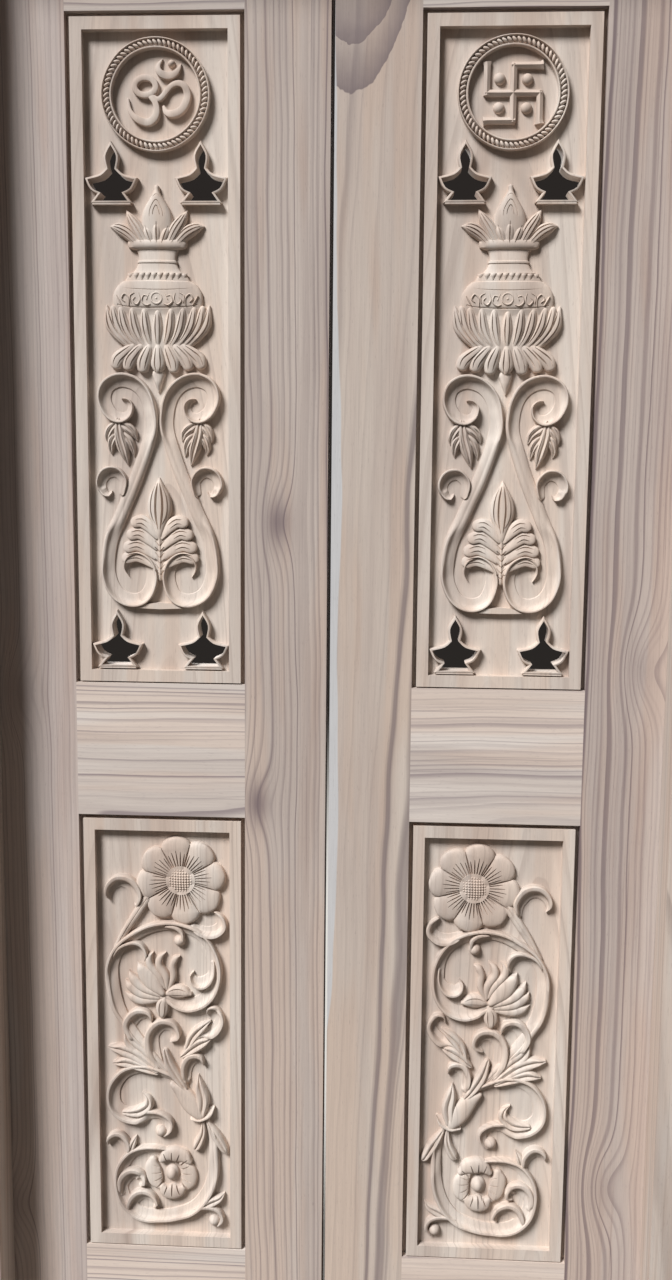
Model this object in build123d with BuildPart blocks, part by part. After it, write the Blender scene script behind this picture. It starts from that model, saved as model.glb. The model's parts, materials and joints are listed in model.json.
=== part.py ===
"""Double-leaf carved temple door of raw teak, hung in its own frame of four members.

The carved face looks along -Y, +X is to the right seen from there, +Z is up, and the
origin is the centre of the sill's underside. All sizes are in millimetres.
"""

import os
from math import atan2, ceil, cos, degrees, hypot, pi, radians, sin

from build123d import *

os.makedirs("parts", exist_ok=True)

# Leaf joinery
leaf_thickness = 38.0
opening_width = 235.0
upper_opening = 880.0
lower_opening = 652.0
top_rail_width = 118.0
middle_rail_width = 188.0
bottom_rail_width = 200.0
meeting_stile_width = 112.0
hinge_stile_width = 117.0
groove_width = 10.4
groove_depth = 12.0
tenon_thickness = 12.0
tenon_length = 60.0
tenon_shoulder = 24.0
mortise_clearance = 0.1
mortise_spare_depth = 2.0

# Carved planks
tongue_clearance = 0.2
tongue_side_gap = 2.0
tongue_top_gap = 3.0
field_set_back = 1.0
plank_thickness = 30.0
shadow_gap_side = 6.0
shadow_gap_top = 6.5
shadow_gap_bottom = 2.0
border_width = 16.0
carving_depth = 12.0
scroll_height = 11.0
leafage_height = 8.0
facet_turn = 62.0

# Frame
frame_depth = 105.0
jamb_face = 75.0
head_face = 75.0
sill_face = 50.0
stop_width = 12.0
stop_clearance = 0.5
side_gap = 3.0
top_gap = 3.0
bottom_gap = 4.0
meeting_gap = 5.0
jamb_tenon_length = 40.0
jamb_tenon_width = 36.0
jamb_tenon_thickness = 30.0
peg_width = 12.0
peg_proud = 1.0

# Lift-off butt hinges
hinge_length = 100.0
plate_width = 30.0
plate_thickness = 2.5
plate_gap = 0.5
knuckle_radius = 6.0
knuckle_stand_off = 0.5
knuckle_gap = 0.4
pin_short_of_top = 2.0
pin_radius = 3.5
pin_clearance = 0.05
bottom_hinge_height = 260.0
top_hinge_drop = 190.0
plate_recess_clearance = 0.1

# Places that follow from the sizes
leaf_width = meeting_stile_width + opening_width + hinge_stile_width
leaf_height = top_rail_width + upper_opening + middle_rail_width + lower_opening + bottom_rail_width
rebate_half_width = meeting_gap / 2 + leaf_width + side_gap
doorway_half_width = rebate_half_width - stop_width
frame_half_width = doorway_half_width + jamb_face
rebate_floor = sill_face - stop_width
leaf_bottom = rebate_floor + bottom_gap
leaf_top = leaf_bottom + leaf_height
rebate_soffit = leaf_top + top_gap
head_bottom = rebate_soffit - stop_width
frame_top = head_bottom + head_face
frame_front = -frame_depth / 2
frame_back = frame_depth / 2
leaf_back = frame_back
leaf_front = leaf_back - leaf_thickness
leaf_middle = leaf_front + leaf_thickness / 2
stop_back = leaf_front - stop_clearance
lower_opening_bottom = leaf_bottom + bottom_rail_width
middle_rail_bottom = lower_opening_bottom + lower_opening
upper_opening_bottom = middle_rail_bottom + middle_rail_width
top_rail_bottom = upper_opening_bottom + upper_opening
hinge_heights = {
    "lower": leaf_bottom + bottom_hinge_height,
    "middle": leaf_bottom + (bottom_hinge_height + leaf_height - top_hinge_drop) / 2,
    "upper": leaf_top - top_hinge_drop,
}
hinge_axis_x = rebate_half_width - side_gap / 2
hinge_axis_y = leaf_back + knuckle_radius + knuckle_stand_off
sides = {"left": -1, "right": 1}


def across(side, distance):
    """X of a line that lies a distance from the leaf's meeting edge."""
    return side * (meeting_gap / 2 + distance)


def block(x_limits, y_limits, z_limits, mode=Mode.ADD):
    """A box between three pairs of limits, added to or cut from the open part."""
    low = [min(pair) for pair in (x_limits, y_limits, z_limits)]
    size = [abs(pair[1] - pair[0]) for pair in (x_limits, y_limits, z_limits)]
    with Locations(tuple(low)):
        Box(*size, align=(Align.MIN, Align.MIN, Align.MIN), mode=mode)


def finish(solid, name):
    """Labels a finished piece and writes its file."""
    solid.label = name
    export_step(solid, f"parts/{name}.step")


# Frame: the head and the sill run through, and the jambs are tenoned into them
tenon_x = doorway_half_width + jamb_face / 2
tenon_half = jamb_tenon_width / 2
socket_half = tenon_half + mortise_clearance
tenon_y = (-jamb_tenon_thickness / 2, jamb_tenon_thickness / 2)
socket_y = (tenon_y[0] - mortise_clearance, tenon_y[1] + mortise_clearance)

peg_heights = (sill_face - jamb_tenon_length / 2, head_bottom + jamb_tenon_length / 2)


def peg_block(side, height, clearance, mode):
    """A square draw peg through a corner joint, or the hole for it."""
    half = peg_width / 2 + clearance
    block((side * tenon_x - half, side * tenon_x + half),
          (frame_front - peg_proud, frame_back + peg_proud),
          (height - half, height + half), mode=mode)


with BuildPart() as head:
    block((-frame_half_width, frame_half_width), (frame_front, frame_back), (head_bottom, frame_top))
    block((-rebate_half_width, rebate_half_width), (stop_back, frame_back), (head_bottom, rebate_soffit),
          mode=Mode.SUBTRACT)
    for side in sides.values():
        socket_x = (side * tenon_x - socket_half, side * tenon_x + socket_half)
        block(socket_x, socket_y, (head_bottom, head_bottom + jamb_tenon_length + mortise_spare_depth),
              mode=Mode.SUBTRACT)
        peg_block(side, head_bottom + jamb_tenon_length / 2, mortise_clearance, Mode.SUBTRACT)
finish(head.part, "frame_head")

with BuildPart() as sill:
    block((-frame_half_width, frame_half_width), (frame_front, frame_back), (0, sill_face))
    block((-rebate_half_width, rebate_half_width), (stop_back, frame_back), (rebate_floor, sill_face),
          mode=Mode.SUBTRACT)
    for side in sides.values():
        socket_x = (side * tenon_x - socket_half, side * tenon_x + socket_half)
        block(socket_x, socket_y, (sill_face - jamb_tenon_length - mortise_spare_depth, sill_face),
              mode=Mode.SUBTRACT)
        peg_block(side, sill_face - jamb_tenon_length / 2, mortise_clearance, Mode.SUBTRACT)
finish(sill.part, "frame_sill")

for name, side in sides.items():
    with BuildPart() as jamb:
        with BuildSketch(Plane.XY.offset(sill_face)):
            with BuildLine():
                Polyline(
                    (side * doorway_half_width, frame_front),
                    (side * frame_half_width, frame_front),
                    (side * frame_half_width, frame_back),
                    (side * rebate_half_width, frame_back),
                    (side * rebate_half_width, stop_back),
                    (side * doorway_half_width, stop_back),
                    close=True,
                )
            make_face()
        extrude(amount=head_bottom - sill_face)
        block((side * tenon_x - tenon_half, side * tenon_x + tenon_half), tenon_y,
              (sill_face - jamb_tenon_length, head_bottom + jamb_tenon_length))
        for height in peg_heights:
            peg_block(side, height, mortise_clearance, Mode.SUBTRACT)
        plate_back = rebate_half_width - side_gap / 2 + plate_gap / 2 + plate_thickness
        for height in hinge_heights.values():
            half = hinge_length / 2 + plate_recess_clearance
            block((side * (rebate_half_width - 1), side * plate_back),
                  (leaf_back - plate_width, leaf_back + 1),
                  (height - half, height + half), mode=Mode.SUBTRACT)
    finish(jamb.part, f"frame_{name}_jamb")

with BuildPart() as pegs:
    for side in sides.values():
        for height in peg_heights:
            peg_block(side, height, 0, Mode.ADD)
finish(pegs.part, "frame_pegs")


# Leaf joinery: stiles with a groove and mortises, rails with tenons
rails = {
    "top_rail": (top_rail_bottom, leaf_top, True, False),
    "middle_rail": (middle_rail_bottom, upper_opening_bottom, True, True),
    "bottom_rail": (leaf_bottom, lower_opening_bottom, False, True),
}
groove_y = (leaf_middle - groove_width / 2, leaf_middle + groove_width / 2)
mortise_y = (leaf_middle - tenon_thickness / 2 - mortise_clearance,
             leaf_middle + tenon_thickness / 2 + mortise_clearance)


def make_stile(file_name, side, inner, outer):
    """A stile from its panel edge to its other edge, both measured from the meeting edge."""
    into = 1 if outer > inner else -1
    with BuildPart() as stile:
        with BuildSketch(Plane.XY.offset(leaf_bottom)):
            with BuildLine():
                Polyline(
                    (across(side, inner), leaf_front),
                    (across(side, outer), leaf_front),
                    (across(side, outer), leaf_back),
                    (across(side, inner), leaf_back),
                    (across(side, inner), groove_y[1]),
                    (across(side, inner + into * groove_depth), groove_y[1]),
                    (across(side, inner + into * groove_depth), groove_y[0]),
                    (across(side, inner), groove_y[0]),
                    close=True,
                )
            make_face()
        extrude(amount=leaf_height)
        depth = inner + into * (tenon_length + mortise_spare_depth)
        for low, high, _, _ in rails.values():
            block((across(side, inner), across(side, depth)), mortise_y,
                  (low + tenon_shoulder - mortise_clearance, high - tenon_shoulder + mortise_clearance),
                  mode=Mode.SUBTRACT)
        if outer > inner:
            plate_face = rebate_half_width - side_gap / 2 - plate_gap / 2 - plate_thickness
            for height in hinge_heights.values():
                half = hinge_length / 2 + plate_recess_clearance
                block((side * plate_face, side * rebate_half_width), (leaf_back - plate_width, leaf_back + 1),
                      (height - half, height + half), mode=Mode.SUBTRACT)
    finish(stile.part, file_name)


def make_rail(file_name, side, low, high, groove_below, groove_above):
    """A rail with a stub tenon at each end and a haunch that fills the stiles' grooves."""
    start = meeting_stile_width
    end = meeting_stile_width + opening_width
    floor = low + groove_depth if groove_below else low
    roof = high - groove_depth if groove_above else high
    with BuildPart() as rail:
        block((across(side, start), across(side, end)), (leaf_front, leaf_back), (low, high))
        for has_groove, edge, bottom in ((groove_below, low, floor), (groove_above, high, roof)):
            if has_groove:
                block((across(side, start), across(side, end)), groove_y, (edge, bottom), mode=Mode.SUBTRACT)
        haunch_y = (groove_y[0] + mortise_clearance, groove_y[1] - mortise_clearance)
        block((across(side, start - groove_depth), across(side, end + groove_depth)), haunch_y, (floor, roof))
        block((across(side, start - tenon_length), across(side, end + tenon_length)),
              (leaf_middle - tenon_thickness / 2, leaf_middle + tenon_thickness / 2),
              (low + tenon_shoulder, high - tenon_shoulder))
    finish(rail.part, file_name)


for name, side in sides.items():
    far_edge = meeting_stile_width + opening_width
    make_stile(f"{name}_meeting_stile", side, meeting_stile_width, 0)
    make_stile(f"{name}_hinge_stile", side, far_edge, leaf_width)
    for rail_name, (low, high, groove_below, groove_above) in rails.items():
        make_rail(f"{name}_{rail_name}", side, low, high, groove_below, groove_above)


# Carving: every stroke is a list of (across from the panel's centre line, height, half width)
# on a drawing of the opening, and the drawing is stretched to the opening that is built
drawing_width = 235.0
upper_drawing_height = 880.0
lower_drawing_height = 652.0

upper_scrolls = {
    "lyre scroll": [
        (46.5, 384, 2.5), (40.5, 377, 4.5), (41.5, 367, 6), (52.5, 362, 7.5), (66.5, 370, 8.5),
        (75.5, 387, 9), (70.5, 404, 9.5), (52.5, 413, 10), (32.5, 408, 10), (18.5, 393, 9.5),
        (11.5, 368, 9.5), (12.5, 340, 9.5), (28.5, 290, 9.5), (51.5, 235, 9.5), (65.5, 203, 9.5),
        (71.5, 175, 9.5), (71.5, 148, 9.5), (62.5, 126, 9.5), (46.5, 116, 9.5), (29.5, 115, 9.5),
        (17.5, 125, 9), (11.5, 146, 8.5), (16.5, 166, 7), (30.5, 175, 5.5), (42.5, 170, 5),
        (47.5, 158, 4), (43.5, 146, 0)],
    "side hook": [
        (48.5, 258, 5), (51.5, 276, 7), (63.5, 289, 7), (75.5, 282, 5), (77.5, 270, 3.5), (71.5, 262, 1)],
}
upper_leafage = {
    "hanging leaf": [(55.5, 356, 3), (54.5, 338, 6), (49.5, 320, 8), (45.5, 300, 0)],
    "outer lobe": [(57.5, 352, 3), (62.5, 343, 6), (65.5, 324, 0)],
    "inner lobe": [(51.5, 352, 3), (41.5, 346, 7), (34.5, 334, 7), (30.5, 316, 0)],
    "coconut": [(0, 600, 20), (0, 622, 22), (0, 640, 13), (0, 652, 5), (0, 664, 1.5)],
    "outer mango leaf": [(29.5, 588, 5), (39.5, 602, 6), (55.5, 614, 0)],
    "inner mango leaf": [(17.5, 588, 6), (26.5, 608, 7), (39.5, 631, 0)],
    "palmette bud": [(0, 205, 4), (0, 225, 16), (0, 245, 22), (0, 262, 16), (0, 281, 1)],
}
upper_petals = [(0, 0, 495), (9, 17, 496), (17, 32, 498), (25, 46, 500), (33, 59, 503), (40, 71, 507)]
lower_petals = [(0, 0, 415), (12, 19, 418), (22, 36, 421), (31, 50, 423), (38, 61, 425)]
petal_waist = 455.0
palmette_lobes = [(2.5, 205, 35.5, 226), (2.5, 190, 44.5, 208), (2.5, 172, 48.5, 191), (4.5, 160, 50.5, 177)]
pot_outline = [
    (40, 590), (40, 580), (27, 574), (24, 565), (30, 557),
    (46, 548), (58, 532), (60, 515), (56, 498), (46, 486)]
medallion_height = 777.5
medallion_radius = 71.0
medallion_band = 13.0
lamp_across = 59.5
lamp_feet = (20.0, 639.0)
lamp_rim = 2.5
lamp_foot_half = 28.0
scroll_web = [(29, 104), (29, 112), (12, 113), (0, 111)]

lower_scrolls = {
    "upper circle": [
        (-5, 386, 6), (11, 378, 8), (33, 371, 9), (55, 378, 9), (70, 396, 8), (74, 425, 7.5), (67, 455, 7),
        (48, 477, 7), (18, 488, 7), (-12, 486, 7), (-39, 474, 7), (-62, 455, 7), (-74, 430, 8), (-75, 400, 9),
        (-69, 370, 9), (-57, 345, 8), (-39, 318, 7), (1, 272, 4)],
    "flower stem": [(-24, 528, 6), (-39, 505, 6), (-55, 480, 5), (-69, 455, 3.5)],
    "top curl": [
        (-39, 518, 3), (-38, 535, 7), (-49, 552, 8), (-65, 555, 7), (-77, 545, 5), (-79, 534, 3),
        (-75, 524, 0)],
    "outer ball curl": [(43, 484, 4), (61, 486, 6), (75, 494, 8), (77, 505, 6), (69, 508, 2)],
    "hanging ball curl": [(9, 484, 4), (21, 478, 7), (28, 468, 7), (23, 459, 4), (16, 459, 1)],
    "inner crescent": [(70, 436, 3), (68, 418, 5), (58, 406, 8), (46, 406, 7), (40, 416, 3), (43, 422, 0)],
    "inner curl": [(-72, 438, 3), (-62, 452, 5), (-47, 459, 5), (-35, 457, 6), (-28, 446, 5), (-29, 434, 0)],
    "left leaf curl": [(-43, 318, 6), (-51, 340, 8), (-39, 356, 8), (-25, 355, 5), (-19, 344, 0)],
    "middle leaf curl": [
        (-5, 272, 4), (-17, 300, 8), (-19, 325, 8), (-7, 341, 8), (10, 340, 7), (17, 326, 5), (9, 317, 2)],
    "right ball curl": [
        (31, 306, 4), (51, 322, 7), (71, 334, 8), (80, 350, 6.5), (74, 365, 5.5), (65, 365, 3.5),
        (62, 358, 1)],
    "right leaf curl": [(31, 258, 4), (30, 278, 6), (37, 291, 6.5), (49, 291, 5), (54, 284, 1)],
    "middle scroll": [
        (21, 252, 2), (1, 264, 5), (-29, 272, 7), (-57, 265, 8), (-74, 243, 8.5), (-75, 218, 9),
        (-62, 201, 9), (-41, 195, 9), (-21, 199, 7), (-7, 199, 6), (2, 190, 7), (0, 178, 7), (-10, 176, 4)],
    "collar": [(39, 199, 3), (51, 202, 6), (63, 209, 6), (70, 216, 2)],
    "lower circle": [
        (61, 196, 3), (69, 170, 6), (71, 140, 7), (69, 110, 8), (59, 82, 8), (41, 60, 8), (15, 48, 8.5),
        (-13, 44, 8.5), (-41, 48, 8.5), (-60, 66, 8.5), (-67, 92, 8.5), (-64, 118, 8), (-51, 138, 7),
        (-33, 147, 6), (-13, 149, 5), (1, 147, 3)],
    "outer leaf curl": [(-57, 142, 3), (-60, 158, 6), (-71, 169, 6.5), (-82, 164, 5), (-84, 156, 1)],
    "corner ball curl": [(43, 56, 3), (59, 58, 6), (75, 52, 7), (79, 42, 7), (71, 36, 4)],
}
lower_leafage = {
    "lotus petal 1": [(8, 395, 3), (11, 415, 4), (8, 435, 5), (17, 446, 3), (22, 440, 0)],
    "lotus petal 2": [(3, 398, 3), (-7, 440, 4.5), (-1, 449, 2)],
    "lotus petal 3": [(-2, 398, 3), (-14, 425, 5), (-20, 440, 4.5), (-17, 450, 2)],
    "lotus petal 4": [(-5, 392, 6), (-19, 408, 11), (-33, 425, 8), (-41, 436, 0)],
    "lotus petal 5": [(-9, 388, 4), (-32, 400, 6), (-49, 416, 5), (-57, 428, 0)],
    "lotus petal 6": [(-11, 384, 4), (-33, 390, 6), (-51, 402, 5), (-59, 404, 0)],
    "lotus petal 7": [(-11, 380, 4), (-31, 378, 6), (-47, 384, 5), (-57, 388, 0)],
    "lotus petal 8": [(-11, 376, 3), (-29, 370, 5), (-55, 380, 0)],
    "right sepal": [(5, 390, 4), (19, 391, 9), (35, 388, 3)],
    "lower sepal": [(1, 380, 3), (-3, 368, 9), (-3, 353, 2)],
    "middle leaf": [(29, 300, 3), (39, 326, 5), (55, 342, 4), (67, 351, 0)],
    "right leaf": [(25, 296, 3), (41, 308, 7), (55, 316, 6), (67, 321, 0)],
    "acanthus lobe 1": [(-13, 276, 5), (-33, 296, 9), (-51, 312, 7), (-57, 327, 0)],
    "acanthus lobe 2": [(-13, 272, 5), (-41, 292, 8), (-65, 300, 7), (-80, 302, 0)],
    "acanthus lobe 3": [(-13, 268, 4), (-39, 279, 6), (-59, 285, 5), (-72, 281, 0)],
    "scroll's leaf": [(-59, 205, 4), (-39, 206, 8), (-25, 216, 7), (-25, 228, 4), (-34, 236, 0)],
    "spine": [(1, 300, 4), (7, 280, 7), (17, 262, 7), (29, 246, 4)],
    "bud": [(11, 250, 4), (25, 238, 10), (39, 218, 12), (49, 205, 8)],
    "bud's petal": [(53, 208, 6), (55, 228, 9), (51, 248, 7), (49, 266, 0)],
    "left drop": [(55, 193, 2), (54, 175, 5), (46, 156, 6), (41, 150, 0)],
    "right drop": [(63, 192, 3), (75, 172, 7), (87, 152, 5), (92, 146, 0)],
    "inner curl 1": [(-65, 78, 4), (-63, 98, 7), (-51, 111, 7), (-39, 108, 7), (-35, 97, 4), (-41, 93, 0)],
    "inner curl 2": [(-55, 52, 5), (-49, 70, 7), (-37, 80, 7), (-23, 76, 6), (-13, 64, 3), (-7, 56, 0)],
    "left petal": [(2, 114, 6), (-14, 112, 19), (-26, 111, 15), (-31, 110, 4)],
    "top petal": [(7, 118, 6), (10, 133, 19), (12, 144, 15), (13, 149, 4)],
    "right petal": [(12, 114, 6), (30, 113, 20), (43, 112, 15), (49, 111, 4)],
    "bottom petal": [(7, 110, 6), (7, 96, 18), (9, 86, 15), (10, 82, 4)],
    "pointed leaf": [(-53, 140, 2), (-49, 155, 5), (-43, 168, 0)],
    "corner leaf": [(49, 60, 3), (65, 68, 7), (79, 76, 5), (86, 84, 0)],
}
big_flower_centre = (25.0, 556.5)
big_flower_radius = 64.0
big_flower_notch = 13.0
big_flower_petals = 8
big_flower_turn = 8.0
big_flower_eye = 21.0
small_flower_centre = (7.0, 114.0)
small_flower_eye = 9.0


def smooth_path(points):
    """A Catmull-Rom curve through the points, in steps that turn at most about one facet."""
    path = [points[0]]
    for i in range(len(points) - 1):
        before, start, end = points[max(i - 1, 0)], points[i], points[i + 1]
        after = points[min(i + 2, len(points) - 1)]
        turn_in = atan2(end[1] - before[1], end[0] - before[0])
        turn_out = atan2(after[1] - start[1], after[0] - start[0])
        turn = abs((degrees(turn_out - turn_in) + 180) % 360 - 180)
        steps = max(1, ceil(turn / facet_turn))
        for k in range(1, steps + 1):
            t = k / steps
            path.append(tuple(
                b + 0.5 * t * (c - a + t * (2 * a - 5 * b + 4 * c - d + t * (3 * b - a - 3 * c + d)))
                for a, b, c, d in zip(before, start, end, after)))
    return path


def stroke_outline(points):
    """The outline of a stroke: its two long sides, set off from its path by its half width."""
    path = smooth_path(points)
    first, second = [], []
    for i, (x, z, half) in enumerate(path):
        x0, z0, _ = path[max(i - 1, 0)]
        x1, z1, _ = path[min(i + 1, len(path) - 1)]
        length = hypot(x1 - x0, z1 - z0)
        normal = (-(z1 - z0) / length, (x1 - x0) / length)
        first.append((x + normal[0] * half, z + normal[1] * half))
        if half > 0:
            second.append((x - normal[0] * half, z - normal[1] * half))
    return first + second[::-1]


def mirrored(outlines):
    """Outlines drawn on one side of the centre line, and their mirror images."""
    return outlines + [[(-x, z) for x, z in outline] for outline in outlines]


def both_sides(half_outline):
    """A closed outline from its half, drawn from the centre line round to the centre line."""
    return half_outline + [(-x, z) for x, z in reversed(half_outline) if x > 0]


def lotus_outlines():
    """Petals that fan up and down from the waist of the double lotus."""
    outlines = []
    for petals, root_half, belly, belly_half in ((upper_petals, 3, 0.6, 7.5), (lower_petals, 5, 0.7, 9)):
        for root, tip, height in petals:
            outlines.append(stroke_outline([
                (root, petal_waist, root_half),
                (root + belly * (tip - root), petal_waist + 0.6 * (height - petal_waist), belly_half),
                (tip, height, 1)]))
    return outlines


def palmette_outlines():
    """Lobes that arch outwards one above the other and droop at their ends."""
    return [stroke_outline([(x0, z0, 5), (x0 + 0.5 * (x1 - x0), z1, 10), (x1 - 8, z1 + 6, 8), (x1, z1, 1)])
            for x0, z0, x1, z1 in palmette_lobes]


def flower_outline(centre, radius, notch, petals, turn):
    """A scalloped ring: the edge falls in to a notch between each two petals."""
    points = []
    steps = 4 * petals
    for k in range(steps):
        angle = 2 * pi * k / steps
        reach = radius - notch * (1 - abs(cos(angle * petals / 2)) ** 0.5)
        direction = angle + radians(turn)
        points.append((centre[0] + reach * cos(direction), centre[1] + reach * sin(direction)))
    return points


def field_limits(bottom, height):
    """The raised field of a plank inside its opening."""
    half = opening_width / 2 - shadow_gap_side
    return (-half, half), (bottom + shadow_gap_bottom, bottom + height - shadow_gap_top)


def lamp_hole(foot_x, foot_z):
    """The through opening in the shape of an oil lamp with its flame, standing on its foot."""
    flame = smooth_path([(0, 75, 0), (7, 61, 0), (4.5, 45, 0)])
    bowl = smooth_path([(4.5, 45, 0), (14, 37, 0), (30, 31, 0)])
    belly = smooth_path([(30, 31, 0), (25, 21, 0), (14, 15, 0)])
    half = [(x, z) for x, z, _ in flame + bowl[1:] + belly[1:]] + [(20, 6), (0, 6)]
    return [(foot_x + x, foot_z + z) for x, z in both_sides(half)]


def make_panel(file_name, side, bottom, height, drawing_height, outlines, raised_outlines,
               lamps, medallion, eyes):
    """A plank with its tongue, its sunk ground and the carving that is left standing on it."""
    centre = across(side, meeting_stile_width + opening_width / 2)
    stretch = (opening_width / drawing_width, height / drawing_height)

    def place(x, z):
        return centre + x * stretch[0], bottom + z * stretch[1]

    (left, right), (low, high) = field_limits(bottom, height)
    front = leaf_front + field_set_back
    ground = front + carving_depth
    tongue = groove_width - tongue_clearance
    with BuildPart() as panel:
        block((centre + left, centre + right), (front, front + plank_thickness), (low, high))
        block((centre - opening_width / 2 - groove_depth + tongue_side_gap,
               centre + opening_width / 2 + groove_depth - tongue_side_gap),
              (leaf_middle - tongue / 2, leaf_middle + tongue / 2),
              (bottom - groove_depth, bottom + height + groove_depth - tongue_top_gap))
        block((centre + left + border_width, centre + right - border_width), (front, ground),
              (low + border_width, high - border_width), mode=Mode.SUBTRACT)
        for figures, relief in ((outlines, leafage_height), (raised_outlines, scroll_height)):
            with BuildSketch(Plane.XZ.offset(-ground - 1)):
                for figure in figures:
                    with BuildLine():
                        Polyline(*[place(x, z) for x, z in figure], close=True)
                    make_face()
            extrude(amount=relief + 1)
        for x, z, radius, relief in eyes:
            with BuildSketch(Plane.XZ.offset(-ground - 1)):
                with Locations(place(x, z)):
                    Circle(radius)
            extrude(amount=relief + 1)
        if medallion:
            with BuildSketch(Plane.XZ.offset(-ground - 1)):
                with Locations(place(0, medallion_height)):
                    Circle(medallion_radius)
                    Circle(medallion_radius - medallion_band, mode=Mode.SUBTRACT)
            extrude(amount=scroll_height + 1)
        for x, z in lamps:
            foot_x, foot_z = place(x, z)
            hole = lamp_hole(foot_x, foot_z)
            with BuildSketch(Plane.XZ.offset(-ground - 1)):
                with BuildLine():
                    Polyline(*hole, close=True)
                make_face()
                offset(amount=lamp_rim, kind=Kind.INTERSECTION)
                Polygon((foot_x - lamp_foot_half, foot_z), (foot_x + lamp_foot_half, foot_z),
                        (foot_x + 16, foot_z + 16), (foot_x - 16, foot_z + 16), align=None)
            extrude(amount=scroll_height + 1)
            with BuildSketch(Plane.XZ.offset(-leaf_back)):
                with BuildLine():
                    Polyline(*hole, close=True)
                make_face()
            extrude(amount=leaf_thickness, mode=Mode.SUBTRACT)
    finish(panel.part, file_name)


upper_low = mirrored([stroke_outline(points) for name, points in upper_leafage.items()
                      if name not in ("coconut", "palmette bud")] + lotus_outlines() + palmette_outlines())
upper_low += [stroke_outline(upper_leafage[name]) for name in ("coconut", "palmette bud")]
upper_high = mirrored([stroke_outline(points) for points in upper_scrolls.values()])
upper_high += [both_sides(pot_outline), both_sides(scroll_web)]
upper_lamps = [(across_centre, foot) for across_centre in (-lamp_across, lamp_across) for foot in lamp_feet]
lower_low = [stroke_outline(points) for points in lower_leafage.values()]
lower_low.append(flower_outline(big_flower_centre, big_flower_radius, big_flower_notch,
                                big_flower_petals, big_flower_turn))
lower_high = [stroke_outline(points) for points in lower_scrolls.values()]

for name, side in sides.items():
    make_panel(f"{name}_upper_panel", side, upper_opening_bottom, upper_opening, upper_drawing_height,
               upper_low, upper_high, upper_lamps, True, [])
    flip = -side
    make_panel(
        f"{name}_lower_panel", side, lower_opening_bottom, lower_opening, lower_drawing_height,
        [[(flip * x, z) for x, z in outline] for outline in lower_low],
        [[(flip * x, z) for x, z in outline] for outline in lower_high],
        [], False,
        [(flip * big_flower_centre[0], big_flower_centre[1], big_flower_eye, scroll_height),
         (flip * small_flower_centre[0], small_flower_centre[1], small_flower_eye, scroll_height)])


# Hinges: three to each leaf, with their knuckles behind the leaf's back; the lower knuckle is on
# the jamb with the pin in it, and the leaf's knuckle is set down over the pin
knuckle_pitch = (hinge_length + knuckle_gap) / 2
plate_front = leaf_back - plate_width


def make_plate(file_name, side, height, knuckle, outward):
    """One leaf of a hinge; its knuckle is 0 below or 1 above, and outward is 1 on the jamb."""
    axis = side * hinge_axis_x
    near = axis + side * outward * plate_gap / 2
    far = near + side * outward * plate_thickness
    base = height - hinge_length / 2
    low = base + knuckle * knuckle_pitch
    high = low + knuckle_pitch - knuckle_gap
    with BuildPart() as plate:
        block((near, far), (plate_front, leaf_back), (base, base + hinge_length))
        block((near, far), (leaf_back, hinge_axis_y), (low, high))
        with BuildSketch(Plane.XY.offset(low)):
            with Locations((axis, hinge_axis_y)):
                Circle(knuckle_radius)
        extrude(amount=high - low)
        with BuildSketch(Plane.XY.offset(low)):
            with Locations((axis, hinge_axis_y)):
                Circle(pin_radius + pin_clearance)
        extrude(amount=high - low, mode=Mode.SUBTRACT)
    finish(plate.part, file_name)


for name, side in sides.items():
    for place_name, height in hinge_heights.items():
        make_plate(f"{name}_{place_name}_frame_plate", side, height, 0, 1)
        make_plate(f"{name}_{place_name}_leaf_plate", side, height, 1, -1)
        with BuildPart() as pin:
            with BuildSketch(Plane.XY.offset(height - hinge_length / 2)):
                with Locations((side * hinge_axis_x, hinge_axis_y)):
                    Circle(pin_radius)
            extrude(amount=hinge_length - pin_short_of_top)
        finish(pin.part, f"{name}_{place_name}_hinge_pin")
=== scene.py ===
# %% [markdown]
# # The carved temple door
# Two leaves of raw teak hang in their own frame. The frame, the stiles, the rails and the hinges
# come from the CAD frame with their real shapes, so they only need wood and metal. The four
# planks are carved by hand on the real door, so here they are carved again, stroke by stroke,
# and each one stands in for the plain relief of its CAD node.

# %% Load the frame
import json
import math
import bmesh
import bpy
from mathutils import Matrix, Vector, noise

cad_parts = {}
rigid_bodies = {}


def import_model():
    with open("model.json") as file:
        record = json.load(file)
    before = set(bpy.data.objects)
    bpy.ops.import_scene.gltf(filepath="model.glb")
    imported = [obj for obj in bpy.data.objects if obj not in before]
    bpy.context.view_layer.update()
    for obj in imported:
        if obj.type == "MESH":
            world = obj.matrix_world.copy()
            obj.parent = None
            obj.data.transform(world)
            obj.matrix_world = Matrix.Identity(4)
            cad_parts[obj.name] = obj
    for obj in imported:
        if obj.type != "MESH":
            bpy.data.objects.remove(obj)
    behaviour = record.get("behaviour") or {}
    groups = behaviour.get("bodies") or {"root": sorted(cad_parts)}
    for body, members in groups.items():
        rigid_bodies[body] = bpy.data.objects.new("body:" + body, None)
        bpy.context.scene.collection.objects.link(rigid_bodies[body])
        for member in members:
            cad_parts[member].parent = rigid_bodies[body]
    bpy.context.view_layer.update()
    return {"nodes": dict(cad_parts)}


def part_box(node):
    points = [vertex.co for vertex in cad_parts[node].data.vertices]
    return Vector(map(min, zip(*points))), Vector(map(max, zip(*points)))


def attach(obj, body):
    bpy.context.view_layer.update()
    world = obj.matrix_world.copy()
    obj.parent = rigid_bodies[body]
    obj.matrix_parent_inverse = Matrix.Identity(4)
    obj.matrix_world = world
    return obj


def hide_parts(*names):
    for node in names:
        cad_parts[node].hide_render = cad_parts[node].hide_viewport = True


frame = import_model()
nodes = frame["nodes"]

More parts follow.
